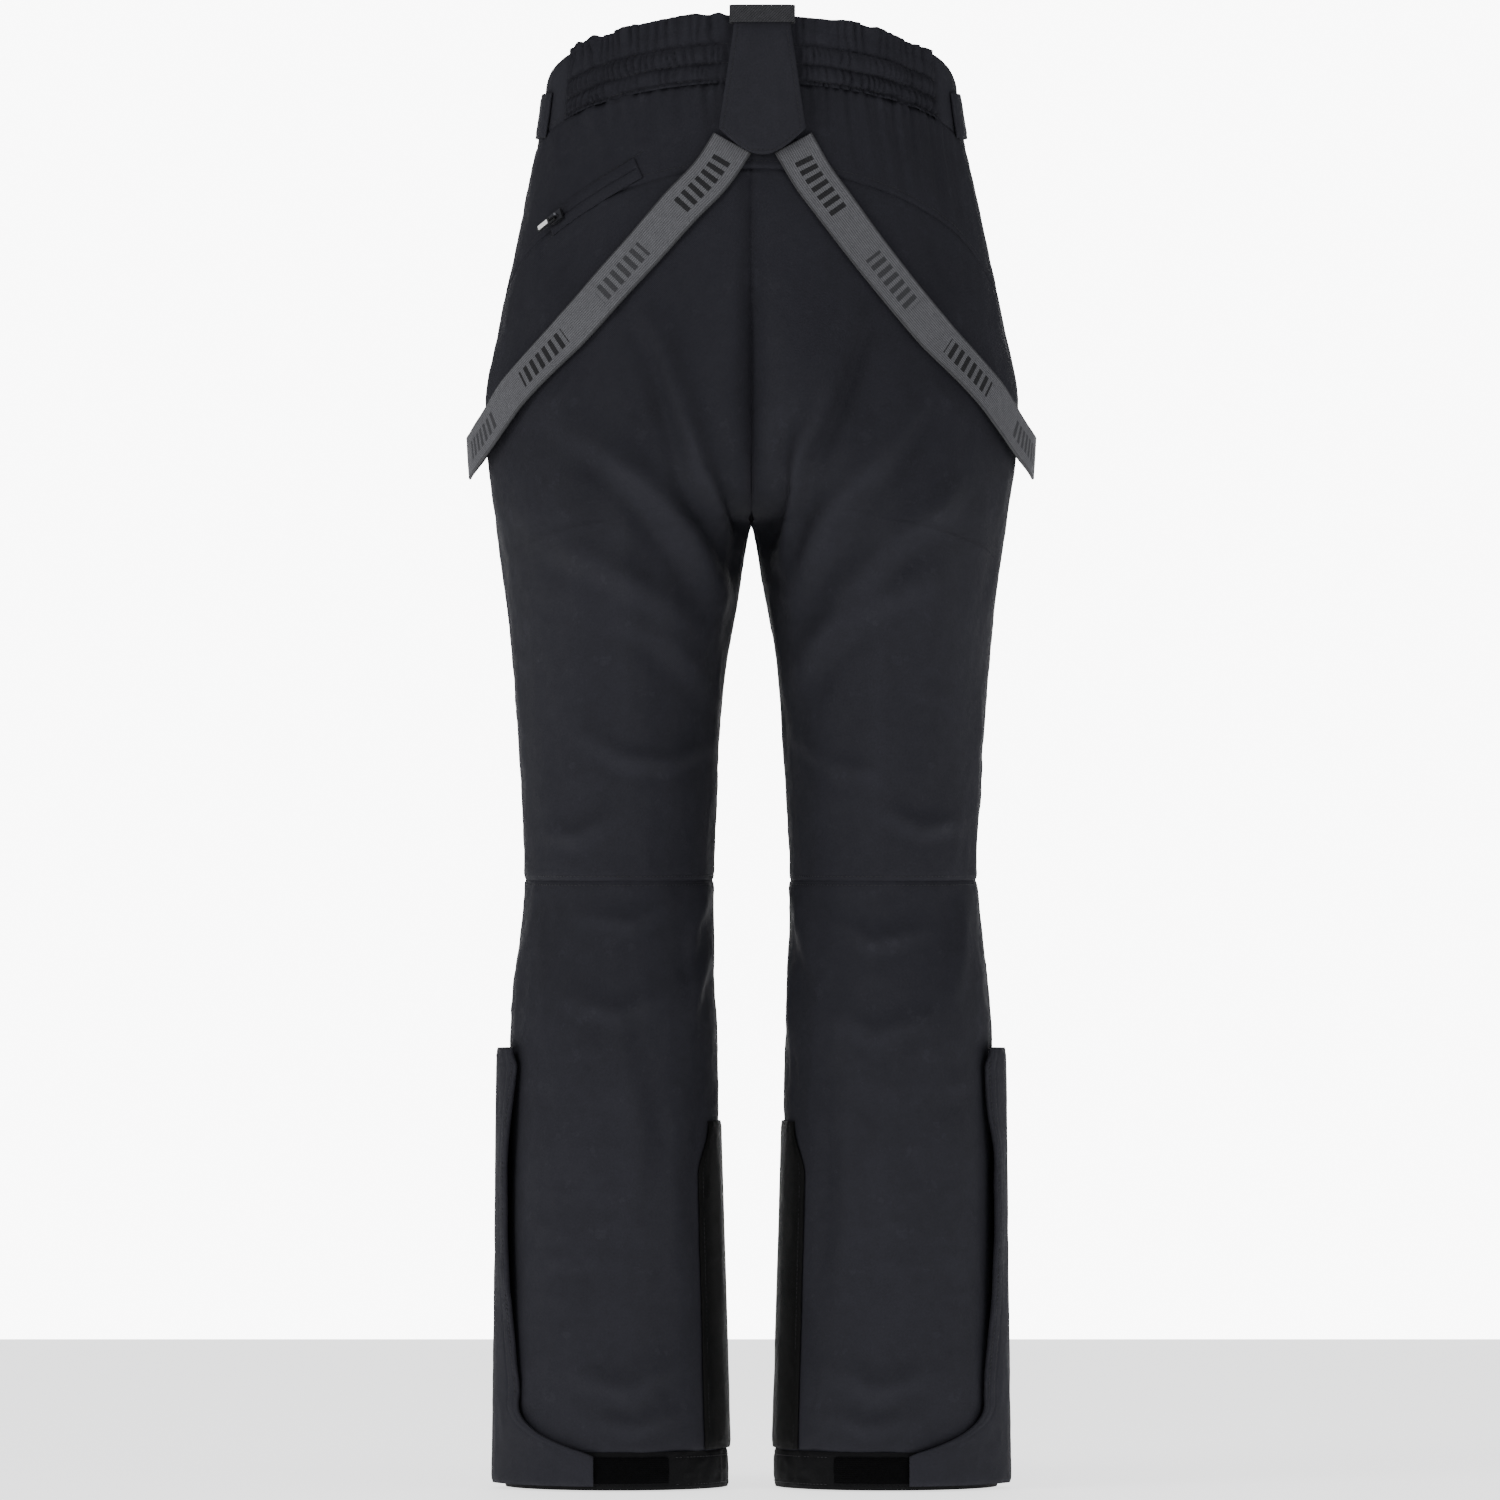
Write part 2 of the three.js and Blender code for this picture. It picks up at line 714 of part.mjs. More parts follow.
function addBackTab() {
  const top = tabTopWidth / 2;
  const foot = tabFootWidth / 2;
  const shape = new THREE.Shape();
  shape.moveTo(-top, 0);
  shape.lineTo(top, 0);
  shape.lineTo(top + 1, loopHeight + 6);
  shape.lineTo(foot, tabLength - tabPoint);
  shape.quadraticCurveTo(foot * 0.4, tabLength, 0, tabLength);
  shape.quadraticCurveTo(-foot * 0.4, tabLength, -foot, tabLength - tabPoint);
  shape.lineTo(-top - 1, loopHeight + 6);
  const tab = extrude(shape, tabThickness);
  tab.rotateX(Math.PI / 2);
  tab.translate(0, tabStandOff + tabThickness, 0);
  const at = tabHead.clone().add(new THREE.Vector3(tabShift, 0, 0));
  seat(add('suspender_back_tab', tab, colours.shell), { at, across: tabAcross, out: tabOut });

  const inner = tabTopWidth / 2 + 3;
  const low = tabStandOff - loopSlack;
  const high = tabStandOff + tabThickness + loopSlack;
  const ring = new THREE.Shape();
  ring.moveTo(-inner - loopWall, low - loopWall);
  ring.lineTo(inner + loopWall, low - loopWall);
  ring.lineTo(inner + loopWall, high + loopWall);
  ring.lineTo(-inner - loopWall, high + loopWall);
  const hollow = new THREE.Path();
  hollow.moveTo(-inner, low);
  hollow.lineTo(inner, low);
  hollow.lineTo(inner, high);
  hollow.lineTo(-inner, high);
  ring.holes.push(hollow);
  const loop = extrude(ring, loopHeight);
  seat(add('belt_loop_back', loop, colours.guard), { at, across: tabAcross, out: tabOut });
}

// A strap's middle line: down the back, round the hip clear of the leg, and up to the front.
// below is the drop from the waist.
const strapRoute = [
  { angle: 82, below: 48, offset: 2.2 },
  { angle: 77, below: 72, offset: 2.2 },
  { angle: 71, below: 94, offset: 2.6 },
  { angle: 60, below: 136, offset: 3 },
  { angle: 47, below: 182, offset: 3.6 },
  { angle: 31, below: 230, offset: 5 },
  { angle: 16, below: 264, offset: 9 },
  { angle: 0, below: 278, offset: 14 },
  { angle: -15, below: 268, offset: 13 },
  { angle: -27, below: 238, offset: 8 },
  { angle: -37, below: 202, offset: 5 },
  { angle: -45, below: 164, offset: 4 },
  { angle: -53, below: 124, offset: 3.6 },
  { angle: -60, below: 86, offset: 2.8 },
  { angle: -66, below: 50, offset: 2.4 },
];
const strapSteps = 44;
const shiftSteps = 14;
const glideStep = 36;
const frontTab = { from: deg(-58.5), to: deg(-72.5), foot: waistHeight - 78, top: waistHeight - 30 };
const frontTabGap = layGap + strapThickness + strapWidth ** 2 / (7 * waistFront);
const frontTabThickness = 2;

function strapPoints(side) {
  const route = strapRoute.map(({ angle, below, offset }) => (
    new THREE.Vector3(angle, waistHeight - below, offset)));
  const curve = new THREE.CatmullRomCurve3(route);
  const shift = (side * tabShift) / waistSide;
  return curve.getPoints(strapSteps).map((point, i) => {
    const fade = smooth(1 - i / shiftSteps, 0, 1);
    return { angle: deg(point.x) - shift * fade, z: point.y, offset: point.z };
  });
}

function addStraps() {
  both((side, hand) => {
    const frames = framesAlong(side, strapPoints(side));
    const half = strapThickness / 2;
    const strap = sweep(frames, rectangle(strapWidth, -half, half));
    add(`suspender_strap_${hand}`, strap, colours.webbing);

    const inner = strapWidth / 2 + glideSideSlack;
    const open = half + glideSlack;
    const ring = new THREE.Shape();
    ring.moveTo(-inner - glideWall, -open - glideWall / 2);
    ring.lineTo(inner + glideWall, -open - glideWall / 2);
    ring.lineTo(inner + glideWall, open + glideWall);
    ring.lineTo(-inner - glideWall, open + glideWall);
    const slot = new THREE.Path();
    slot.moveTo(-inner, -open);
    slot.lineTo(inner, -open);
    slot.lineTo(inner, open);
    slot.lineTo(-inner, open);
    ring.holes.push(slot);
    const glide = extrude(ring, glideLength);
    glide.translate(0, 0, -glideLength / 2);
    seat(add(`strap_glide_${hand}`, glide, colours.plastic, 0.5), frames[glideStep]);

    const tab = patch(side, 4, 3, {
      angle: (u) => lerp(frontTab.from, frontTab.to, u),
      height: (u, v) => lerp(frontTab.foot, frontTab.top, v),
      ...even(frontTabGap, frontTabGap + frontTabThickness),
    });
    add(`suspender_front_tab_${hand}`, tab, colours.shell);
  });
}

// ---------------------------------------------------------------- lower legs

const cuffSlit = deg(3);
const loopPatch = { from: deg(60), to: deg(118), foot: 5, top: cuffHeight - 4 };
const loopPatchGap = 0.6;
const loopPatchThickness = 1;
const guard = { from: deg(142), to: deg(226), foot: cuffHeight + 1, top: zipHeight - 49 };
const guardCorner = { height: 40, slant: deg(12) };
const guardGap = 1.4;
const guardThickness = 1.2;
const gaiterTop = zipHeight - 105;
const gaiterFoot = cuffHeight / 2;
const gaiterDraw = 15;
const gaiterThickness = 1.2;
const flapSewn = deg(-14);
const flapHold = deg(22);
const flapFree = deg(33);
const hemTabEnd = deg(79);
const hemTabTop = cuffHeight - 2;
const hemTabBlend = cuffHeight + 35;
const flapThickness = 2.2;
const flapCrown = 7.6;
const flapFoot = 3;
const flapTop = zipHeight + 5;
const flapCorner = 14;

function flapEdge(z) {
  const fade = THREE.MathUtils.clamp((hemTabBlend - z) / (hemTabBlend - hemTabTop), 0, 1) ** 2;
  const corner = smooth(z, flapTop - flapCorner, flapTop) * deg(5);
  return lerp(flapFree, hemTabEnd, fade) - corner;
}

function flapStand(angle) {
  const rise = smooth(angle, flapSewn, deg(-5));
  const fall = smooth(angle, deg(7), deg(40));
  return layGap + (flapCrown - layGap) * rise * (1 - 0.72 * fall);
}

function addFlap(side, hand) {
  const blend = [0, 0.14, 0.3, 0.5, 0.7, 1].map((t) => lerp(hemTabTop, hemTabBlend, t));
  const corner = [1, 0.4, 0].map((t) => flapTop - flapCorner * t);
  const levels = [flapFoot, hemTabTop / 2, ...blend, (hemTabBlend + flapTop) / 2, ...corner];
  const holdColumn = 0.6;
  const angleAt = (u, z) => (u < holdColumn
    ? lerp(flapSewn, flapHold, u / holdColumn)
    : lerp(flapHold, flapEdge(z), (u - holdColumn) / (1 - holdColumn)));
  const zAt = (v) => levels[Math.round(v * (levels.length - 1))];
  const flap = patch(side, 10, levels.length - 1, {
    angle: angleAt,
    height: (u, v) => zAt(v),
    low: (u, v) => flapStand(angleAt(u, zAt(v))),
    high: (u, v) => flapStand(angleAt(u, zAt(v))) + flapThickness,
  });
  add(`leg_flap_${hand}`, flap, colours.shell);
}

// The side zip runs from the hem to the knee in a straight line under the flap.
const legZipTop = { angle: 0, z: zipHeight };
const legZipFoot = { angle: 0, z: 8 };

function addLegZip(side, hand) {
  addZip(`leg_zip_${hand}`, side, legZipTop, legZipFoot, 4);
  const frames = framesAlong(side, zipLine(legZipFoot, legZipTop, 24));
  const frame = frames[2];
  const at = frame.at.clone().addScaledVector(frame.out, coilTop + seamGap);
  const tongue = new THREE.BoxGeometry(pullWidth, pullThickness, pullLength);
  tongue.translate(0, sliderThickness + pullThickness / 2 - 0.1, pullLength / 2 - 4);
  const slider = join(sliderPlate(-1), tongue);
  const mesh = add(`leg_zip_slider_${hand}`, slider, colours.metal, 0.4, 0.8);
  seat(mesh, { at, across: frame.across, out: frame.out });
}

function addLowerLegs() {
  both((side, hand) => {
    const cuff = patch(side, 24, 1, {
      angle: (u) => lerp(cuffSlit, 2 * Math.PI - cuffSlit, u),
      height: (u, v) => lerp(0, cuffHeight, v),
      ...even(-shellThickness, 0),
    });
    add(`hem_cuff_${hand}`, cuff, colours.guard);
    const fastening = patch(side, 9, 1, {
      angle: (u) => lerp(loopPatch.from, loopPatch.to, u),
      height: (u, v) => lerp(loopPatch.foot, loopPatch.top, v),
      ...even(loopPatchGap, loopPatchGap + loopPatchThickness),
    });
    add(`hem_loop_patch_${hand}`, fastening, colours.guard, 1);
    const scuffGuard = patch(side, 10, 4, {
      angle: (u, z) => {
        const rise = smooth(z, guard.top - guardCorner.height, guard.top);
        const slant = rise * guardCorner.slant;
        return lerp(guard.from + slant, guard.to - slant, u);
      },
      height: (u, v) => lerp(guard.foot, guard.top, v),
      ...even(guardGap, guardGap + guardThickness),
    });
    add(`scuff_guard_${hand}`, scuffGuard, colours.guard, 0.8);
    const gaiterOut = (v) => -shellThickness - layGap - lerp(gaiterDraw, 0, smooth(v, 0, 0.9));
    const gaiter = patch(side, 24, 3, {
      angle: (u) => lerp(0, 2 * Math.PI, u),
      height: (u, v) => lerp(gaiterFoot, gaiterTop, v),
      low: (u, v) => gaiterOut(v) - gaiterThickness,
      high: (u, v) => gaiterOut(v),
      closed: true,
    });
    add(`snow_gaiter_${hand}`, gaiter, colours.lining);
    addLegZip(side, hand);
    addFlap(side, hand);
  });
}

addShell();
addWaistband();
addClosure();
addPockets();
addBeltLoops();
addSideAdjusters();
addBackTab();
addStraps();
addLowerLegs();

export default group;
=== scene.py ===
"""Ski pants: cloth, webbing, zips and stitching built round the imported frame.

Every soft piece is a two-layer sheet that follows the same body shape as the frame. Lengths in
the shape functions are millimetres above the hem; points are turned into metres at the end.
"""

import math

import bpy
import numpy as np
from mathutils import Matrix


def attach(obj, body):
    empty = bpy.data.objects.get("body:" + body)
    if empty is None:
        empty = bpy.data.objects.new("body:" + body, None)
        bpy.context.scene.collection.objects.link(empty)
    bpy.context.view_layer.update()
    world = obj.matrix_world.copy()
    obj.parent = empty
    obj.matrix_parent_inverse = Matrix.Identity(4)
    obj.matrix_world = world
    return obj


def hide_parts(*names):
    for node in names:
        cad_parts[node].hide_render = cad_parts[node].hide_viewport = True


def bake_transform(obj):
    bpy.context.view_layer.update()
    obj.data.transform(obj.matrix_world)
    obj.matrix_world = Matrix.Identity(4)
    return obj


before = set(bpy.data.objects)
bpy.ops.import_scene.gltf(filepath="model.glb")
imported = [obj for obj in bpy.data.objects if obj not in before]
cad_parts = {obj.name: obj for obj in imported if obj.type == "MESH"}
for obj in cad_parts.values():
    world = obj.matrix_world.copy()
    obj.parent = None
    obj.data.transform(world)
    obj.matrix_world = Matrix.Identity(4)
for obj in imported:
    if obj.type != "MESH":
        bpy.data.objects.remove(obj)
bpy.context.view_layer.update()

bl_info = {
    "name": "Ski Pants",
    "version": (1, 0, 0),
    "blender": (4, 5, 0),
    "location": "View3D > Sidebar > Ski Pants",
    "description": "Builds insulated ski pants with suspenders from cloth, webbing and zips",
    "category": "Object",
}

RIGHT, LEFT = 1, -1
WAIST = 1040.0
KNEE = 449.0
CUFF = 28.0
ZIP_TOP = 320.0
CASING_END = 26.0
SEAM = 0.02
SHELL = 3.0
BODY = "trousers"


# ---------------------------------------------------------------- the body's shape

# Height above the hem, reach to the outside, inside, back and front.
STATIONS = np.array([
    (0, 183, 17, 94, 76),
    (160, 181, 21.5, 100, 76),
    (330, 179, 26, 106, 76),
    (449, 168, 28, 90, 92),
    (583, 175, 22, 98, 110),
    (680, 185, 7, 119, 119),
    (715, 190, 0.15, 130, 122),
    (737, 193, -28, 136, 124),
    (765, 196, -85, 142, 125),
    (803, 197, -155, 146, 126),
    (853, 188, -188, 143, 122),
    (950, 168, -168, 122, 112),
    (1023, 154, -154, 104, 104),
    (1100, 147, -147, 95, 99),
])
WHOLE = 853.0


def measure(column, z):
    """One reach of the body at the heights z: a cubic through the stations."""
    heights, values = STATIONS[:, 0], STATIONS[:, column]
    rise = np.diff(values) / np.diff(heights)
    slope = np.concatenate([rise[:1], np.zeros(len(rise) - 1), rise[-1:]])
    for k in range(1, len(rise)):
        a, b = rise[k - 1], rise[k]
        slope[k] = 2 * a * b / (a + b) if a * b > 0 else 0
    i = np.clip(np.searchsorted(heights, z, side="right") - 1, 0, len(rise) - 1)
    span = heights[i + 1] - heights[i]
    t = np.clip((z - heights[i]) / span, 0, 1)
    bend = t * (1 - t) * span * ((1 - t) * (slope[i] - rise[i]) - t * (slope[i + 1] - rise[i]))
    return values[i] + (values[i + 1] - values[i]) * t + bend


def section(z):
    """Centre and half width across, and middle and half depth, of the right half at z."""
    outside, back, front = measure(1, z), measure(3, z), measure(4, z)
    inside = np.where(z > WHOLE, -outside, measure(2, z))
    return (outside + inside) / 2, (outside - inside) / 2, (front - back) / 2, (front + back) / 2


def body_point(side, angle, z, offset):
    """Points on the body. The angle is 0 at the side, +90 degrees behind and -90 in front."""
    centre, half_width, middle, half_depth = section(z)
    x = side * (centre + (half_width + offset) * np.cos(angle))
    y = middle - (half_depth + offset) * np.sin(angle)
    return np.stack(np.broadcast_arrays(x, y, z - WAIST), axis=-1)


def centre_angle(z):
    """Angle at which a panel meets the centre seam, or the inseam below the crotch."""
    centre, half_width, _, half_depth = section(z)
    at_plane = np.arccos(np.clip((SEAM / 2 - centre) / half_width, -1, 1))
    at_inseam = math.pi - np.arcsin(SEAM / 2 / half_depth)
    return np.minimum(at_plane, at_inseam)


def side_angle(z):
    return np.arcsin(SEAM / 2 / section(z)[3])


def band_top(angle):
    sine = np.sin(angle)
    return WAIST + np.where(sine > 0, 47.0, 20.0) * sine


def band_foot(angle):
    return band_top(angle) - 50


def yoke_seam(angle):
    return 868 + 105 * np.abs(np.sin(angle)) ** 0.8


def smooth(low, high, value):
    t = np.clip((value - low) / (high - low), 0, 1)
    return t * t * (3 - 2 * t)


# ---------------------------------------------------------------- folds and puckers

def lattice(i, j, k, seed):
    """A repeatable random number from -1 to 1 at whole-number places."""
    h = (i * 374761393 + j * 668265263 + k * 2147483647 + seed * 974634777) & 0xFFFFFFFF
    h = ((h ^ (h >> 13)) * 1274126177) & 0xFFFFFFFF
    return ((h ^ (h >> 16)) & 0xFFFF) / 32767.5 - 1


def noise(points, size, seed):
    """Smooth noise from -1 to 1; size is the grain along X, Y and Z."""
    p = points / np.asarray(size, dtype=float)
    base = np.floor(p).astype(np.int64)
    f = p - base
    f = f * f * (3 - 2 * f)
    total = 0
    for corner in range(8):
        step = np.array([corner & 1, (corner >> 1) & 1, corner >> 2])
        weight = np.prod(np.where(step == 1, f, 1 - f), axis=-1)
        cell = base + step
        total = total + weight * lattice(cell[..., 0], cell[..., 1], cell[..., 2], seed)
    return total


def wrinkles(points, size, seed):
    """Folds with rounded backs and sharper valleys."""
    value = noise(points, size, seed)
    return 1 - 2 * np.sqrt(value * value + 0.02)


def crease(x, z, path, height, width, lean=0.0):
    """One fold along a path of (x, z) places. Its height fades out towards both ends."""
    nearest = np.full(x.shape, 1e9)
    across = np.zeros(x.shape)
    along = np.zeros(x.shape)
    steps = [math.dist(a, b) for a, b in zip(path, path[1:])]
    total, gone = sum(steps), 0.0
    for (ax, az), (bx, bz), step in zip(path, path[1:], steps):
        ux, uz = (bx - ax) / step, (bz - az) / step
        t = np.clip((x - ax) * ux + (z - az) * uz, 0, step)
        dx, dz = x - ax - t * ux, z - az - t * uz
        distance = np.hypot(dx, dz)
        closer = distance < nearest
        nearest = np.where(closer, distance, nearest)
        across = np.where(closer, dx * uz - dz * ux, across)
        along = np.where(closer, (gone + t) / total, along)
        gone += step
    fade = np.sin(np.pi * np.clip(along * 0.92 + 0.04, 0, 1)) ** 0.7
    body = np.exp(-((nearest / width) ** 2))
    flank = np.exp(-(((across - 1.5 * width) / width) ** 2)) * np.exp(-((nearest / (2.6 * width)) ** 4))
    return height * fade * (body - lean * flank)


# Folds behind: the path's (x, z) places, height (below 0 is a valley), width and lean. x is on
# the wearer's side, and each list names the sides it lies on.
BACK_FOLDS = [
    # the centre seam's valley and the deep cleft under the seat
    ((RIGHT, LEFT), [(0, 985), (0, 900), (0, 800), (0, 722)], -3.0, 8, 0),
    # folds that fan from the crotch over the inner thighs
    ((RIGHT,), [(16, 686), (30, 752), (47, 789), (65, 840), (84, 884)], 5.2, 10, 0.5),
    ((RIGHT,), [(30, 662), (56, 716), (92, 762), (124, 806)], 4.4, 12, 0.45),
    ((RIGHT,), [(44, 612), (72, 664), (110, 704), (150, 738)], 2.8, 12, 0.45),
    ((RIGHT,), [(12, 702), (22, 740), (26, 786)], -4.2, 7, 0.3),
    ((LEFT,), [(6, 697), (37, 752), (63, 840), (80, 872)], 5.4, 10, 0.5),
    ((LEFT,), [(22, 660), (48, 706), (84, 748), (128, 782)], 4.6, 12, 0.45),
    ((LEFT,), [(40, 626), (70, 656), (112, 684), (146, 700)], 2.6, 12, 0.45),
    ((LEFT,), [(30, 590), (58, 622), (98, 650)], 2.2, 10, 0.4),
    ((RIGHT,), [(26, 588), (50, 626), (90, 656), (126, 672)], 2.4, 11, 0.4),
    # long soft ridges down the outer thighs
    ((RIGHT,), [(150, 872), (142, 780), (132, 660), (128, 540)], 2.6, 15, 0.3),
    ((RIGHT,), [(112, 836), (104, 740), (98, 640), (92, 520)], 2.0, 15, 0.3),
    ((LEFT,), [(148, 880), (136, 790), (126, 680), (122, 530)], 2.8, 15, 0.3),
    ((LEFT,), [(104, 850), (96, 760), (96, 660), (88, 540)], 2.0, 14, 0.3),
    # creases above the knee seam
    ((RIGHT,), [(36, 556), (60, 534), (92, 526)], 1.8, 8, 0.3),
    ((LEFT,), [(34, 548), (62, 536), (96, 540), (120, 556)], 1.9, 8, 0.3),
    ((RIGHT,), [(96, 502), (124, 488), (152, 492)], 1.7, 8, 0.3),
    ((LEFT,), [(100, 500), (128, 482), (150, 484)], 1.6, 8, 0.3),
    # creases under the knee seam
    ((LEFT,), [(32, 447), (42, 416), (45, 392)], 2.0, 6, 0.4),
    ((LEFT,), [(30, 398), (40, 372), (46, 346)], 2.0, 6, 0.4),
    ((LEFT,), [(52, 440), (88, 418), (124, 424)], 1.6, 8, 0.3),
    ((LEFT,), [(60, 372), (96, 352), (134, 362)], 1.7, 9, 0.3),
    ((LEFT,), [(96, 330), (82, 262), (88, 190)], 1.9, 12, 0.3),
    ((LEFT,), [(50, 300), (60, 226), (56, 150)], 1.6, 10, 0.3),
    ((RIGHT,), [(29, 450), (38, 414), (46, 382)], 2.0, 6, 0.4),
    ((RIGHT,), [(25, 399), (28, 362), (30, 322)], 2.0, 6, 0.4),
    ((RIGHT,), [(157, 443), (154, 404), (149, 360)], 1.9, 7, 0.4),
    ((RIGHT,), [(54, 424), (90, 404), (128, 414)], 1.7, 8, 0.3),
    ((RIGHT,), [(58, 352), (92, 336), (132, 352)], 1.6, 9, 0.3),
    ((RIGHT,), [(104, 316), (96, 250), (104, 176)], 1.9, 12, 0.3),
    ((RIGHT,), [(66, 296), (72, 232), (66, 160)], 1.5, 10, 0.3),
    # soft slumps above the hems
    ((RIGHT, LEFT), [(60, 92), (92, 74), (130, 86)], 1.8, 9, 0.3),
    ((RIGHT, LEFT), [(56, 56), (86, 46), (118, 52)], 1.4, 7, 0.3),
]

FRONT_FOLDS = [
    ((RIGHT, LEFT), [(0, 850), (0, 780), (0, 718)], -3.2, 9, 0),
    ((RIGHT, LEFT), [(10, 706), (38, 744), (78, 776), (116, 800)], 3.0, 10, 0.5),
    ((RIGHT, LEFT), [(20, 678), (52, 706), (96, 728), (140, 744)], 2.6, 11, 0.45),
    ((RIGHT, LEFT), [(40, 632), (76, 654), (118, 664)], 2.0, 10, 0.4),
    ((RIGHT, LEFT), [(96, 690), (98, 610), (94, 530)], 2.2, 15, 0.3),
    ((RIGHT, LEFT), [(52, 500), (90, 486), (134, 498)], 2.2, 9, 0.4),
    ((RIGHT, LEFT), [(50, 470), (92, 458), (138, 468)], -1.6, 6, 0.2),
    ((RIGHT, LEFT), [(58, 400), (96, 386), (136, 396)], 1.8, 9, 0.3),
    ((RIGHT, LEFT), [(90, 350), (86, 270), (94, 180)], 1.9, 13, 0.3),
    ((RIGHT, LEFT), [(60, 110), (96, 92), (132, 102)], 1.8, 9, 0.3),
]


# Lines on the body where something lies on the cloth, as (angle in degrees, z) with a reach.
STRAP_LINE = [(82, 992), (77, 968), (71, 946), (60, 904), (47, 858), (31, 810), (16, 776)]
FRONT_STRAP_LINE = [(-27, 802), (-37, 838), (-45, 876), (-53, 916), (-60, 954), (-66, 990)]
HAND_POCKET = [(-30, 950), (-17, 842)]
BACK_POCKET = [(32, 934), (58, 972)]
LEG_ZIP = [(0, 0), (0, 326)]


def near_line(degrees, z, line, reach):
    """1 on the line, falling to 0 at its reach."""
    x = degrees * 2.4
    nearest = np.full(x.shape, 1e9)
    for (a0, z0), (a1, z1) in zip(line, line[1:]):
        ax, bx = a0 * 2.4, a1 * 2.4
        step2 = (bx - ax) ** 2 + (z1 - z0) ** 2
        t = np.clip(((x - ax) * (bx - ax) + (z - z0) * (z1 - z0)) / step2, 0, 1)
        nearest = np.minimum(nearest, np.hypot(x - ax - t * (bx - ax), z - z0 - t * (z1 - z0)))
    return 1 - smooth(reach * 0.55, reach, nearest)


def calm(right, degrees, z, x):
    """How far the folds are pressed flat, from 0 to 1."""
    behind = degrees > 0
    held = 0.7 * near_line(degrees, z, STRAP_LINE, 34)
    held = np.maximum(held, near_line(degrees, z, FRONT_STRAP_LINE, 40))
    held = np.maximum(held, near_line(degrees, z, HAND_POCKET, 20))
    held = np.maximum(held, np.where(right, 0, near_line(degrees, z, BACK_POCKET, 20)))
    held = np.maximum(held, 0.9 * near_line(degrees, z, [(-14, 0), (-14, 326)], 14))
    held = np.maximum(held, near_line(degrees, z, LEG_ZIP, 30))
    held = np.maximum(held, 0.8 * near_line(degrees, z, [(24, 0), (24, 322)], 26))
    guarded = smooth(134, 144, np.abs(degrees)) * (1 - smooth(268, 282, z))
    held = np.maximum(held, 0.8 * guarded)
    tabbed = (1 - smooth(28, 36, np.abs(x - 8))) * smooth(962, 972, z)
    held = np.maximum(held, np.where(behind, 0.85 * tabbed, 0))
    closed = (1 - smooth(14, 24, np.abs(x))) * smooth(846, 860, z)
    return np.maximum(held, np.where(behind, 0, closed))


def relief(points, degrees):
    """How far the cloth's folds stand off the body at points in millimetres."""
    x, z = points[..., 0], points[..., 2] + WAIST
    right = x >= 0
    sine = np.sin(np.radians(degrees))
    behind = smooth(-0.10, 0.34, sine)
    total = np.zeros(x.shape)
    for lists, share in ((BACK_FOLDS, behind), (FRONT_FOLDS, 1 - smooth(-0.34, 0.10, sine))):
        for sides, path, height, width, lean in lists:
            for side in sides:
                if path[0][0] == 0 and side == LEFT:
                    continue
                here = np.abs(x) if path[0][0] == 0 else side * x
                total += 2.1 * share * crease(here, z, path, height, width, lean)
    soft = 1.3 * noise(points, (46, 46, 120), 3) + 0.9 * noise(points, (24, 24, 44), 5)
    crumple = 0.62 * wrinkles(points + 2 * noise(points, (30, 30, 30), 8)[..., None], (17, 17, 26), 11)
    crumple += 0.26 * wrinkles(points, (8, 8, 11), 17)
    leg = 1 - smooth(860, 960, z)
    lower = 1 - smooth(380, 460, z)
    total += (0.75 + 0.35 * leg) * soft + (0.5 + 0.25 * leg + 0.35 * lower) * crumple
    total += gather_folds(points, degrees) + cleft(x, z) * behind
    pressed = calm(right, degrees, z, x)
    return np.where(total > 0, total * (1 - pressed), total * (1 - 0.55 * pressed))


def cleft(x, z):
    """The deep fall of the cloth to the centre seam under the seat."""
    depth = 19 * (1 - smooth(760, 920, z)) * (0.65 + 0.35 * smooth(712, 745, z)) * smooth(640, 716, z)
    width = 10 + 20 * (1 - smooth(730, 870, z))
    return -depth * np.exp(-((np.abs(x) / width) ** 1.4))


def gather_folds(points, degrees):
    """Upright folds that run down from the gathered waist and die out on the seat."""
    z = points[..., 2] + WAIST
    angle = np.radians(np.where(degrees > 90, 90, degrees))
    below = band_foot(angle) - z
    arc = points[..., 0] + 0.55 * points[..., 1]
    drift = 3.2 * noise(points, (34, 34, 60), 23)
    fine = np.cos(2 * np.pi * (arc + drift) / 8.6)
    broad = np.cos(2 * np.pi * (arc + 1.8 * drift) / 19.0 + 1.1)
    where = smooth(16, 34, degrees) * smooth(-6, 2, below)
    uneven = 0.65 + 0.45 * noise(points, (22, 22, 80), 29)
    short = np.exp(-np.clip(below, 0, None) / 20)
    long = np.exp(-np.clip(below, 0, None) / 58)
    return where * uneven * (1.7 * fine * short + 2.0 * broad * long * (1 - 0.5 * short))


def own_degrees(angle, z):
    """Angle in degrees seen from the half of the body that the point lies on."""
    degrees = np.degrees(angle)
    return np.where((z > WHOLE - 60) & (degrees > 90), 180 - degrees, degrees)


def surface(side, angle, z, lift=0.0):
    """Points on the folded cloth, in metres."""
    flat = body_point(side, angle, z, 0)
    stand = relief(flat, own_degrees(angle, z)) + lift
    return body_point(side, angle, z, stand) / 1000


# ---------------------------------------------------------------- meshes of cloth

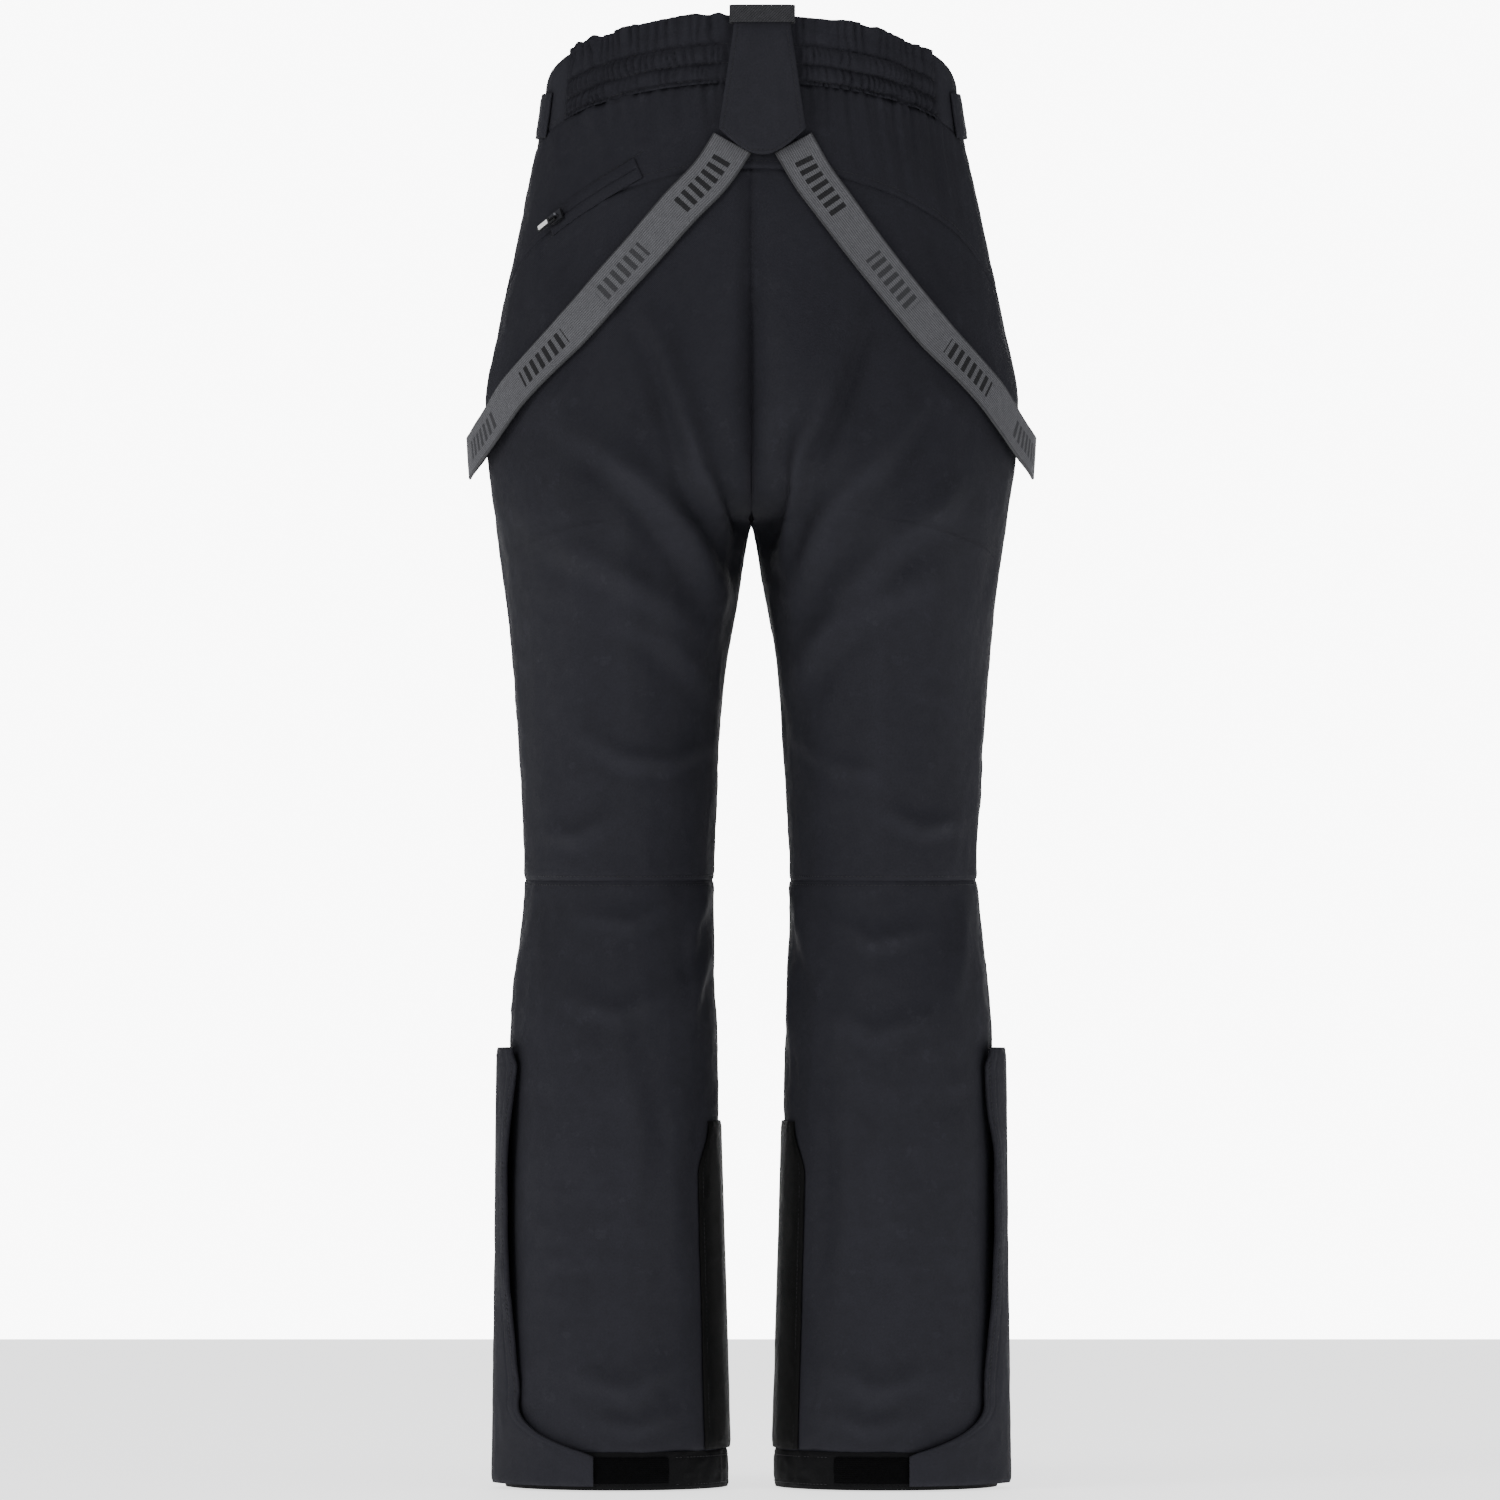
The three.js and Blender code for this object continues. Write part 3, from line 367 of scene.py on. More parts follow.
def mesh_from(name, points, quads, uv=None):
    """A closed mesh from points in metres and an array of quads, its faces turned outwards."""
    a, b, c, d = (points[quads[:, k]] for k in range(4))
    volume = np.einsum("ij,ij->i", a, np.cross(b, c)).sum() + np.einsum(
        "ij,ij->i", a, np.cross(c, d)).sum()
    if volume < 0:
        quads = quads[:, ::-1]
    mesh = bpy.data.meshes.new(name)
    mesh.vertices.add(len(points))
    mesh.vertices.foreach_set("co", points.astype(np.float32).ravel())
    mesh.loops.add(quads.size)
    mesh.loops.foreach_set("vertex_index", quads.astype(np.int32).ravel())
    mesh.polygons.add(len(quads))
    mesh.polygons.foreach_set("loop_start", np.arange(0, quads.size, 4, dtype=np.int32))
    mesh.update(calc_edges=True)
    mesh.polygons.foreach_set("use_smooth", np.ones(len(quads), dtype=bool))
    if uv is not None:
        layer = mesh.uv_layers.new(name="cloth")
        layer.data.foreach_set("uv", uv[quads.ravel()].astype(np.float32).ravel())
    mesh.validate()
    piece = bpy.data.objects.new(name, mesh)
    bpy.context.scene.collection.objects.link(piece)
    return piece


def two_layers(name, outer, inner, closed=False):
    """A closed sheet between two grids of points in metres, shaped (rows, columns, 3)."""
    rows, columns = outer.shape[:2]
    index = np.arange(rows * columns).reshape(rows, columns)
    if closed:
        index[:, -1] = index[:, 0]
    face = np.stack([index[:-1, :-1], index[:-1, 1:], index[1:, 1:], index[1:, :-1]], -1).reshape(-1, 4)
    layer = rows * columns
    rims = [index[0], index[-1][::-1]]
    if not closed:
        rims += [index[::-1, 0], index[:, -1]]
    quads = [face, face[:, ::-1] + layer]
    for rim in rims:
        quads.append(np.stack([rim[1:], rim[:-1], rim[:-1] + layer, rim[1:] + layer], -1))
    points = np.concatenate([outer.reshape(-1, 3), inner.reshape(-1, 3)])
    across = np.linalg.norm(np.diff(outer, axis=1), axis=-1)
    along = np.linalg.norm(np.diff(outer, axis=0), axis=-1)
    u = np.concatenate([np.zeros((rows, 1)), np.cumsum(across, axis=1)], axis=1)
    v = np.concatenate([np.zeros((1, columns)), np.cumsum(along, axis=0)], axis=0)
    v = np.broadcast_to(v.mean(axis=1, keepdims=True), v.shape)
    u = u - u[:, [columns // 2]]
    uv = np.stack([u, v], -1).reshape(-1, 2)
    piece = mesh_from(name, points, np.concatenate(quads), np.concatenate([uv, uv]))
    if closed:
        drop_loose(piece)
    return piece


def drop_loose(piece):
    """Takes out the points that no face uses."""
    bpy.ops.object.select_all(action="DESELECT")
    piece.select_set(True)
    bpy.context.view_layer.objects.active = piece
    bpy.ops.object.mode_set(mode="EDIT")
    bpy.ops.mesh.select_all(action="SELECT")
    bpy.ops.mesh.delete_loose()
    bpy.ops.object.mode_set(mode="OBJECT")


def cut_size(outer):
    """Width, length and area of the cloth in one grid of points."""
    across = np.linalg.norm(np.diff(outer, axis=1), axis=-1).sum(axis=1).max()
    along = np.linalg.norm(np.diff(outer, axis=0), axis=-1).sum(axis=0).max()
    a, b = outer[1:, 1:] - outer[:-1, :-1], outer[1:, :-1] - outer[:-1, 1:]
    area = np.linalg.norm(np.cross(a, b), axis=-1).sum() / 2
    return float(across), float(along), float(min(area, across * along))


def finish_sheet(piece, outer, material, nodes=(), body=BODY):
    """Gives a sheet its material and ties it to the frame."""
    piece.data.materials.append(material)
    if nodes:
        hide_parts(*nodes)
    if body:
        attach(piece, body)
    width, length, area = cut_size(outer)
    return piece


def edge_distance(grid, edges):
    """Distance in millimetres from each point of a grid to the nearest of its sewn edges."""
    rows, columns = grid.shape[:2]
    across = np.linalg.norm(np.diff(grid, axis=1), axis=-1)
    along = np.linalg.norm(np.diff(grid, axis=0), axis=-1)
    s = np.concatenate([np.zeros((rows, 1)), np.cumsum(across, axis=1)], axis=1)
    t = np.concatenate([np.zeros((1, columns)), np.cumsum(along, axis=0)], axis=0)
    kinds = {"start": s, "end": s[:, -1:] - s, "foot": t, "top": t[-1:, :] - t}
    return {name: kinds[name] for name in edges}


def spread(count):
    """Even places from 0 to 1, with the first and last steps split for a crisp seam."""
    places = np.linspace(0, 1, count + 1)
    step = places[1]
    extra = np.array([0.12, 0.3, 0.6]) * step
    return np.concatenate([[0], extra, places[1:-1], 1 - extra[::-1], [1]])


def panel(name, side, angle_of, z_of, columns, rows, *, slot, material, held="hung", nodes=(),
          thickness=SHELL, stand=0.0, fold=1.0, edges=("start", "end", "foot", "top"), curl=1.3,
          lines=(), pucker=0.35, shape=None, closed=False, centre_seam=False, body=BODY):
    """One sewn panel of cloth. angle_of(u, z) and z_of(u, v) place it on the body."""
    u = np.linspace(0, 1, columns + 1) if closed else spread(columns)
    u, v = np.meshgrid(u, spread(rows))
    z = z_of(u, v)
    angle = angle_of(u, z)
    flat = body_point(side, angle, z, stand)
    folds = fold * relief(flat, own_degrees(angle, z)) if fold else np.zeros(z.shape)
    lift = folds + stand
    for distance in edge_distance(flat, edges).values():
        lift = lift - curl * np.exp(-((distance / 1.7) ** 2))
        lift = lift + pucker * np.exp(-distance / 9) * noise(flat, (4.5, 4.5, 4.5), 41)
    for edge, inset in lines:
        distance = edge_distance(flat, (edge,))[edge]
        lift = lift - 0.4 * np.exp(-(((distance - inset) / 1.1) ** 2))
    if shape is not None:
        lift = lift + shape(u, v, angle, z, flat)
    under = folds + stand - thickness
    if shape is not None:
        under = under + 0.8 * shape(u, v, angle, z, flat)
    under = np.minimum(under, lift - 0.5 * min(thickness, 1))
    outer = body_point(side, angle, z, lift) / 1000
    inner = body_point(side, angle, z, under) / 1000
    if centre_seam:
        share = np.exp(-((edge_distance(flat, ("end",))["end"] / 16) ** 2)) * smooth(706, 722, z)
        for layer in (outer, inner):
            layer[..., 0] += share * (-side * SEAM / 200 - layer[:, -1:, 0])
    piece = two_layers(name, outer, inner, closed)
    return finish_sheet(piece, outer, material, nodes, body)


# ---------------------------------------------------------------- materials

class Value:
    """A number inside a material that can be added, multiplied and compared like any other."""

    def __init__(self, recipe, socket):
        self.recipe = recipe
        self.socket = socket

    def math(self, operation, first, second=0.0, third=0.0):
        made = self.recipe.node("ShaderNodeMath", {"operation": operation},
                                {0: first, 1: second, 2: third})
        return Value(self.recipe, made.outputs[0])

    def __add__(self, other):
        return self.math("ADD", self, other)

    def __radd__(self, other):
        return self.math("ADD", other, self)

    def __sub__(self, other):
        return self.math("SUBTRACT", self, other)

    def __rsub__(self, other):
        return self.math("SUBTRACT", other, self)

    def __mul__(self, other):
        return self.math("MULTIPLY", self, other)

    def __rmul__(self, other):
        return self.math("MULTIPLY", other, self)

    def __truediv__(self, other):
        return self.math("DIVIDE", self, other)

    def __gt__(self, other):
        return self.math("GREATER_THAN", self, other)

    def __lt__(self, other):
        return self.math("LESS_THAN", self, other)

    def __abs__(self):
        return self.math("ABSOLUTE", self)

    def wave(self, pitch):
        return self.math("SINE", self * (2 * math.pi / pitch))

    def part(self):
        return self.math("FRACT", self)

    def steps(self, pitch):
        """0 and 1 in turn, one step to each pitch."""
        return self.math("FLOOR", (self / (2 * pitch)).part() * 2)


class Recipe:
    """One material's nodes. Lengths read from the cloth are in millimetres."""

    def __init__(self, name):
        self.material = bpy.data.materials.new(name)
        self.material.use_nodes = True
        self.tree = self.material.node_tree
        self.shader = self.tree.nodes["Principled BSDF"]

    def node(self, kind, settings=None, values=None):
        """Adds one node with its settings and the values of its sockets."""
        made = self.tree.nodes.new(kind)
        for key, setting in (settings or {}).items():
            setattr(made, key, setting)
        for key, value in (values or {}).items():
            self.put(made.inputs[key], value)
        return made

    def put(self, socket, value):
        if isinstance(value, Value):
            value = value.socket
        if isinstance(value, bpy.types.NodeSocket):
            self.tree.links.new(value, socket)
        elif value is not None:
            socket.default_value = value

    def cloth_place(self):
        """Across and along the cloth in millimetres, and the same as a vector."""
        place = self.node("ShaderNodeUVMap", {"uv_map": "cloth"}).outputs[0]
        vector = self.node("ShaderNodeVectorMath", {"operation": "SCALE"}, {0: place, 3: 1000.0}).outputs[0]
        parts = self.node("ShaderNodeSeparateXYZ", None, {0: vector}).outputs
        return Value(self, parts[0]), Value(self, parts[1]), vector

    def object_place(self):
        place = self.node("ShaderNodeTexCoord").outputs["Object"]
        return self.node("ShaderNodeVectorMath", {"operation": "SCALE"}, {0: place, 3: 1000.0}).outputs[0]

    def noise(self, vector, grain, detail=3.0, rough=0.55):
        made = self.node("ShaderNodeTexNoise", None, {
            "Vector": vector, "Scale": 1.0 / grain, "Detail": detail, "Roughness": rough})
        return Value(self, made.outputs[0])

    def mix(self, factor, first, second):
        made = self.node("ShaderNodeMix", {"data_type": "RGBA"}, {0: factor, 6: first, 7: second})
        return made.outputs[2]

    def finish(self, colour, roughness, height=None, depth=0.3, metallic=0.0, **constants):
        """Sets the shader. depth is how deep the bumps are in millimetres."""
        self.put(self.shader.inputs["Base Color"], colour)
        self.put(self.shader.inputs["Roughness"], roughness)
        self.put(self.shader.inputs["Metallic"], metallic)
        for name, value in constants.items():
            self.shader.inputs[name.replace("_", " ")].default_value = value
        if height is not None:
            bump = self.node("ShaderNodeBump", None, {"Strength": 1.0, "Distance": depth / 1000,
                                                      "Height": height})
            self.put(self.shader.inputs["Normal"], bump.outputs[0])
        return self.material


def rgb(red, green, blue):
    """A colour from screen values of 0 to 255."""
    def linear(value):
        value /= 255
        return value / 12.92 if value <= 0.04045 else ((value + 0.055) / 1.055) ** 2.4
    return (linear(red), linear(green), linear(blue), 1.0)


def fabric(name, dark, light, thread=0.9, depth=0.12, crinkle=0.5, rough=0.86, twill=True, sheen=0.0):
    """A woven cloth: threads, crinkles with painted shade in their hollows, uneven dye and rubbed patches."""
    recipe = Recipe(name)
    u, v, vector = recipe.cloth_place()
    if twill:
        weave = (u + v).wave(thread * 1.4) * 0.6 + (u - v * 0.35).wave(thread) * 0.4
    else:
        weave = u.wave(thread) * v.wave(thread)
    grain = recipe.noise(vector, 1.6, 2.0)
    crumple = recipe.noise(vector, 9.0, 4.0, 0.6)
    shade = recipe.noise(vector, 55.0, 3.0)
    rubbed = recipe.noise(vector, 24.0, 5.0, 0.7)
    # The crinkle noise (crumple) also sets the colour: lighter on the crinkles' crests and darker in their
    # hollows, painted shade on top of the crinkle bump.
    tone = 0.34 * shade + 0.22 * crumple + 0.3 * grain + 0.07 * weave + 0.18 * (rubbed > 0.62) * rubbed
    colour = recipe.mix(tone, dark, light)
    height = weave * depth + crumple * crinkle + grain * 0.12
    return recipe.finish(colour, rough - 0.1 * rubbed, height, 0.55, Specular_IOR_Level=0.1,
                         Sheen_Weight=sheen, Sheen_Roughness=0.45)


def hook_and_loop(name):
    """A fuzzy fastening strip."""
    recipe = Recipe(name)
    _, v, vector = recipe.cloth_place()
    fuzz = recipe.noise(vector, 0.9, 6.0, 0.8)
    clumps = recipe.noise(vector, 3.5, 3.0)
    colour = recipe.mix(0.6 * fuzz + 0.4 * clumps, rgb(2, 2, 2), rgb(14, 14, 15))
    return recipe.finish(colour, 0.95 - 0.05 * clumps, fuzz + 0.15 * v.wave(1.5), 0.9,
                         Specular_IOR_Level=0.03)


def elastic_strap(name):
    """Grey elastic webbing with ribs along it, dark edges and plain woven bars."""
    recipe = Recipe(name)
    u, v, vector = recipe.cloth_place()
    ribs = u.wave(1.75)
    picks = v.wave(1.15) * u.wave(1.75 * 2)
    edge = abs(u) > 14.6
    group = (v / 88).part()
    bar = (v.wave(7.2) > -0.1) * (group > 0.16) * (group < 0.72) * (abs(u) < 7.2)
    pale_bar = v.steps(88)
    wear = recipe.noise(vector, 6.0, 4.0, 0.65)
    share = 0.5 + 0.22 * ribs + 0.2 * picks + 0.5 * (wear - 0.5)
    base = recipe.mix(share, rgb(60, 60, 62), rgb(104, 104, 107))
    inked = recipe.mix(pale_bar, rgb(20, 20, 21), rgb(50, 50, 52))
    marked = recipe.mix(bar * (0.88 + 0.12 * picks), base, inked)
    colour = recipe.mix(edge * 0.6, marked, rgb(38, 38, 39))
    height = 0.5 * ribs + 0.35 * picks + 0.2 * wear
    return recipe.finish(colour, 0.78 + 0.08 * wear, height, 0.28, Specular_IOR_Level=0.15)


def webbing(name, dark, light, pitch=2.2):
    """Narrow woven tape with a herringbone face."""
    recipe = Recipe(name)
    u, v, vector = recipe.cloth_place()
    bone = (abs(u) + v).wave(pitch)
    wear = recipe.noise(vector, 5.0, 4.0, 0.65)
    colour = recipe.mix(0.45 + 0.3 * bone + 0.6 * (wear - 0.5), dark, light)
    return recipe.finish(colour, 0.82 - 0.1 * wear, bone * 0.7 + wear * 0.4, 0.35, Specular_IOR_Level=0.25)


def ribbed_elastic(name):
    """Wide waist elastic with ribs along its length."""
    recipe = Recipe(name)
    u, v, vector = recipe.cloth_place()
    ribs = v.wave(2.4)
    wear = recipe.noise(vector, 7.0, 3.0)
    colour = recipe.mix(0.5 + 0.3 * ribs + 0.3 * (wear - 0.5), rgb(34, 34, 37), rgb(58, 58, 62))
    return recipe.finish(colour, 0.84 - 0.08 * wear, ribs + 0.3 * u.wave(1.2), 0.35, Specular_IOR_Level=0.2)


def solid_part(name, dark, light, rough, metallic=0.0, coat=0.0, grain=2.0):
    """Moulded plastic or plated metal with fine scratches and uneven polish."""
    recipe = Recipe(name)
    vector = recipe.object_place()
    speck = recipe.noise(vector, grain, 5.0, 0.7)
    cloud = recipe.noise(vector, grain * 6, 2.0)
    colour = recipe.mix(0.5 * speck + 0.5 * cloud, dark, light)
    return recipe.finish(colour, rough + 0.22 * (speck - 0.5) + 0.1 * (cloud - 0.5), speck, 0.05,
                         metallic, Coat_Weight=coat)


def tape_part(name, dark, light):
    """Woven zip tape on a solid that has no cloth map."""
    recipe = Recipe(name)
    vector = recipe.object_place()
    parts = recipe.node("ShaderNodeSeparateXYZ", None, {0: vector}).outputs
    x, z = Value(recipe, parts[0]), Value(recipe, parts[2])
    weave = (x + z).wave(1.1) * (x - z).wave(1.3)
    speck = recipe.noise(vector, 1.4, 4.0)
    colour = recipe.mix(0.5 * speck + 0.3 * weave + 0.2, dark, light)
    return recipe.finish(colour, 0.9 - 0.1 * speck, weave * 0.6 + speck, 0.2, Specular_IOR_Level=0.2)


def sewing_thread(name):
    """Twisted black thread."""
    recipe = Recipe(name)
    vector = recipe.object_place()
    twist = recipe.noise(vector, 0.5, 3.0)
    colour = recipe.mix(twist, rgb(8, 8, 10), rgb(27, 27, 31))
    return recipe.finish(colour, 0.7 - 0.15 * twist, twist, 0.06, Specular_IOR_Level=0.35)


def studio_paper(name, shade, glow):
    """Pale seamless paper with a very slight mottle."""
    recipe = Recipe(name)
    vector = recipe.object_place()
    mottle = recipe.noise(vector, 300.0, 3.0)
    colour = recipe.mix(mottle * 0.4, (shade, shade, shade, 1), (shade * 0.97, shade * 0.97, shade * 0.98, 1))
    material = recipe.finish(colour, 0.9 - 0.05 * mottle, Specular_IOR_Level=0.1)
    recipe.shader.inputs["Emission Color"].default_value = (1, 1, 1, 1)
    recipe.shader.inputs["Emission Strength"].default_value = glow
    return material


made_materials = {}


def look(name):
    """The material of that name, made when it is first asked for."""
    makers = {
        "shell": lambda: fabric("shell cloth", rgb(24, 24, 28), rgb(46, 46, 52)),
        "trim": lambda: fabric("trim cloth", rgb(27, 27, 31), rgb(50, 50, 56), crinkle=0.3),
        "cuff": lambda: fabric("cuff cloth", rgb(5, 5, 6), rgb(19, 19, 20), crinkle=0.7, twill=False),
        "guard": lambda: fabric("scuff guard", rgb(5, 5, 5), rgb(19, 19, 19), thread=1.3, depth=0.4,
                                crinkle=0.3, rough=0.72, twill=False),
        "lining": lambda: fabric("lining cloth", rgb(34, 35, 40), rgb(56, 57, 63), thread=0.6,
                                 crinkle=0.3, rough=0.6, twill=False),
        "hook": lambda: hook_and_loop("hook and loop"),
        "strap": lambda: elastic_strap("elastic strap"),
        "loop": lambda: webbing("loop webbing", rgb(26, 26, 28), rgb(62, 62, 65)),
        "elastic": lambda: ribbed_elastic("waist elastic"),
        "plastic": lambda: solid_part("black plastic", rgb(10, 10, 11), rgb(26, 26, 28), 0.5, coat=0.1),
        "metal": lambda: solid_part("gunmetal", rgb(52, 52, 55), rgb(92, 92, 96), 0.36, metallic=0.9),
        "white": lambda: solid_part("white plastic", rgb(214, 214, 212), rgb(246, 246, 244), 0.42, coat=0.2),
        "tape": lambda: tape_part("zip tape", rgb(10, 10, 12), rgb(32, 32, 35)),
        "teeth": lambda: solid_part("zip teeth", rgb(9, 9, 10), rgb(30, 30, 32), 0.42, grain=1.0),
        "thread": lambda: sewing_thread("sewing thread"),
    }
    if name not in made_materials:
        made_materials[name] = makers[name]()
    return made_materials[name]


# ---------------------------------------------------------------- the shell and the waist

def rad(degrees):
    return math.radians(degrees)


def between(low, high, share):
    return low + (high - low) * share


def both_sides():
    return ((RIGHT, "right"), (LEFT, "left"))


def make_leg_panels(step):
    """The four upper and four lower leg panels."""
    for side, hand in both_sides():
        for face, upper, lower in ((1, "back_thigh", "calf"), (-1, "front_thigh", "shin")):
            def angle_of(u, z, face=face):
                return face * between(side_angle(z), centre_angle(z), u)

            def upper_z(u, v, face=face):
                turn = u * math.pi / 2
                top = yoke_seam(turn) if face > 0 else band_foot(-turn)
                return between(KNEE + SEAM / 2, top - SEAM, v)

            def lower_z(u, v):
                return between(CUFF + SEAM, KNEE - SEAM / 2, v) + 0 * u

            common = {"slot": "shell_fabric", "material": look("shell")}
            panel(f"{upper}_cloth_{hand}", side, angle_of, upper_z, int(268 / step), int(500 / step),
                  nodes=(f"{upper}_{hand}",), lines=(("foot", 3.2),), centre_seam=True, **common)
            panel(f"{lower}_cloth_{hand}", side, angle_of, lower_z, int(240 / step), int(412 / step),
                  nodes=(f"{lower}_{hand}",), lines=(("top", 3.0),), **common)


def make_yoke(step):
    """The back yoke between the side seams."""
    def angle_of(u, z):
        seam = side_angle(WAIST)
        return between(seam, math.pi - seam, u)

    def z_of(u, v):
        angle = angle_of(u, 0)
        return between(yoke_seam(angle), band_foot(angle) - SEAM, v)

    panel("back_yoke_cloth", RIGHT, angle_of, z_of, int(480 / step * 1.4), int(100 / step * 1.2),
          slot="shell_fabric", material=look("shell"), nodes=("back_yoke",), lines=(("foot", 5.8),))


STITCH_ROWS = (3.0, 15.0, 29.0)


def gathered_casing(u, v, angle, z, flat):
    """Puffed channels between the stitch rows, gathered upright, and a loose frill on top."""
    height = z - band_foot(angle)
    arc = angle * 131
    total = np.zeros(z.shape)
    for k, (low, high) in enumerate(zip((-2.0,) + STITCH_ROWS, STITCH_ROWS + (52.0,))):
        inside = (height >= low) & (height < high)
        t = np.clip((height - low) / (high - low), 0, 1)
        frill = k == 3
        place = np.stack([arc, arc * 0 + 9 * k, z * 0.35], -1)
        drift = 5.5 * noise(place, (13, 13, 13), 50 + k) + 2 * noise(place, (5, 5, 5), 56 + k)
        ridge = 2 * np.abs(np.sin(np.pi * (arc + drift) / (7.4 if frill else 5.4))) ** 0.7 - 1
        ridge = ridge * (0.7 + 0.6 * noise(place, (8, 8, 8), 66 + k))
        broad = noise(np.stack([arc, arc * 0 + 5 * k, z * 0.2], -1), (10, 10, 10), 61 + k)
        swell = np.where(frill, 1.2 * t + 0.9 * np.sin(np.pi * np.minimum(t * 2, 1)),
                         (0.4 if k == 0 else 1.5 if k == 1 else 2.1) * np.sin(np.pi * t))
        depth = np.where(frill, 1.0 + 2.4 * t, 0.9 + 1.7 * np.sin(np.pi * t))
        total = np.where(inside, swell + depth * (0.75 * ridge + 0.85 * broad), total)
    for row in STITCH_ROWS:
        total = total - 1.0 * np.exp(-(((height - row) / 1.3) ** 2))
    ends = smooth(0, 0.025, u) * smooth(0, 0.025, 1 - u)
    beside_tab = smooth(25, 34, np.abs(flat[..., 0] - 8))
    return total * ends * (0.3 + 0.7 * beside_tab)


def make_waistband():
    """The gathered back casing, the flat front bands, the elastic and the inside facing."""
    def strip(name, start, end, insets, columns, rows, **settings):
        """One piece along the waistband, set in from the band's foot and top."""
        foot_inset, top_inset = insets

        def angle_of(u, z):
            return between(start, end, u)

        def z_of(u, v):
            angle = angle_of(u, 0)
            top = band_top(angle) - top_inset
            if "frill" in name:
                arc = np.stack([angle * 131, angle * 0, angle * 0], -1)
                top = top + (2.4 * noise(arc, (9, 9, 9), 71) + 4.6 * noise(arc, (33, 33, 33), 72)) * (
                    smooth(25, 34, np.abs(150 * np.cos(angle) - 8)))
            return between(band_foot(angle) + foot_inset, top, v)

        return panel(name, RIGHT, angle_of, z_of, columns, rows, **settings)

    seam = SEAM / 152
    casing = rad(CASING_END)
    front = rad(-90) + seam
    strip("frill_waistband_back", casing, math.pi - casing, (0, 0), 330, 52, slot="shell_fabric",
          material=look("shell"), nodes=("waistband_back",), held="gathered", thickness=1.2, fold=0,
          edges=("foot", "start", "end"), curl=0.9, shape=gathered_casing)
    flat = {"slot": "shell_fabric", "material": look("trim"), "thickness": 2.2, "fold": 0.12,
            "held": "laid", "curl": 0.8, "lines": (("top", 3.5), ("foot", 3.5))}
    strip("waistband_front_cloth_right", front, casing - seam, (0, 0), 110, 20,
          nodes=("waistband_front_right",), **flat)
    strip("waistband_front_cloth_left", math.pi - casing + seam, math.pi - front, (0, 0), 110, 20,
          nodes=("waistband_front_left",), **flat)
    strip("waist_elastic_band", casing, math.pi - casing, (6, 10), 120, 16, slot="elastic", held="stretched",
          material=look("elastic"), nodes=("waist_elastic",), thickness=1.6, stand=-2.8, fold=0, curl=0.2)
    strip("waistband_facing_cloth", front, math.pi - front, (-3, 6), 300, 20, slot="lining", held="laid",
          material=look("lining"), nodes=("waistband_facing",), thickness=1.4, stand=-5.0, fold=0,
          curl=0.3, shape=lambda u, v, angle, z, flat: 0.25 * wrinkles(flat, (14, 14, 14), 91))


def patch_panel(name, side, start, end, foot, top, columns, rows, **settings):
    """A cloth piece between two angles in degrees and two heights."""
    return panel(name, side, lambda u, z: between(rad(start), rad(end), u),
                 lambda u, v: between(foot, top, v) + 0 * u, columns, rows, **settings)


def make_inner_pieces():
    """Pocket bags and the shield behind the fly."""
    bag = {"slot": "lining", "material": look("lining"), "thickness": 1.4, "stand": -5.1, "fold": 0,
           "curl": 0.3, "held": "hung",
           "shape": lambda u, v, angle, z, flat: -0.5 * np.abs(wrinkles(flat, (22, 22, 30), 95))}
    for side, hand in both_sides():
        patch_panel(f"hand_pocket_bag_cloth_{hand}", side, -10, -62, 775, 940, 40, 44,
                    nodes=(f"hand_pocket_bag_{hand}",), **bag)
    patch_panel("back_pocket_bag_cloth", LEFT, 22, 66, 810, 925, 36, 32, nodes=("back_pocket_bag",), **bag)
    patch_panel("fly_shield_cloth", RIGHT, -98, -82, 850, 966, 16, 40, nodes=("fly_shield",), slot="lining",
                material=look("lining"), thickness=1.4, stand=-3.6, fold=0, curl=0.3, held="hung")


def make_waist_tabs():
    """The front closing tab, the side adjusters, the front belt loops and the strap tabs."""
    flat = {"slot": "shell_fabric", "material": look("trim"), "fold": 0, "held": "laid", "curl": 0.7}
    rim = (("start", 2.8), ("end", 2.8), ("foot", 2.8), ("top", 2.8))
    patch_panel("closure_tab_cloth", RIGHT, -101, -74, 977, 1015, 44, 26, nodes=("closure_tab",),
                thickness=2.4, stand=3.3, lines=rim, body="closure_tab", **flat)
    loop_foot, loop_top = float(band_foot(rad(-47))) + 3, float(band_top(rad(-47))) - 1
    for side, hand in both_sides():
        patch_panel(f"side_adjuster_cloth_{hand}", side, 17, -23, 999, 1032, 60, 22,
                    nodes=(f"side_adjuster_{hand}",), thickness=2.2, stand=3.1, lines=rim,
                    body=f"side_adjuster_{hand}", **flat)
        patch_panel(f"belt_loop_cloth_{hand}", side, -49.6, -44.4, loop_foot, loop_top, 10, 30,
                    nodes=(f"belt_loop_front_{hand}",), thickness=1.4, stand=0.9, fold=0, held="laid",
                    edges=("start", "end"), curl=0.35, slot="loop_webbing", material=look("loop"),
                    shape=lambda u, v, angle, z, flat: 1.4 + 6.6 * np.minimum(1, np.sin(np.pi * v) * 1.8))
        patch_panel(f"suspender_front_tab_cloth_{hand}", side, -58.5, -72.5, 962, 1010, 26, 32,
                    nodes=(f"suspender_front_tab_{hand}",), thickness=2.0, stand=6.1, lines=rim, **flat)


# ---------------------------------------------------------------- suspenders

def back_line(height):
    return body_point(RIGHT, rad(90), np.float64(height), 0.0)


LINE_TOP, LINE_FOOT = back_line(1073), back_line(981)
TAB_DOWN = (LINE_FOOT - LINE_TOP) / np.linalg.norm(LINE_FOOT - LINE_TOP)
TAB_OUT = np.cross(TAB_DOWN, np.array([1.0, 0, 0]))
TAB_HEAD = LINE_TOP - 20 * TAB_DOWN + np.array([8.0, 0, 0])
TAB_LENGTH = 112.0


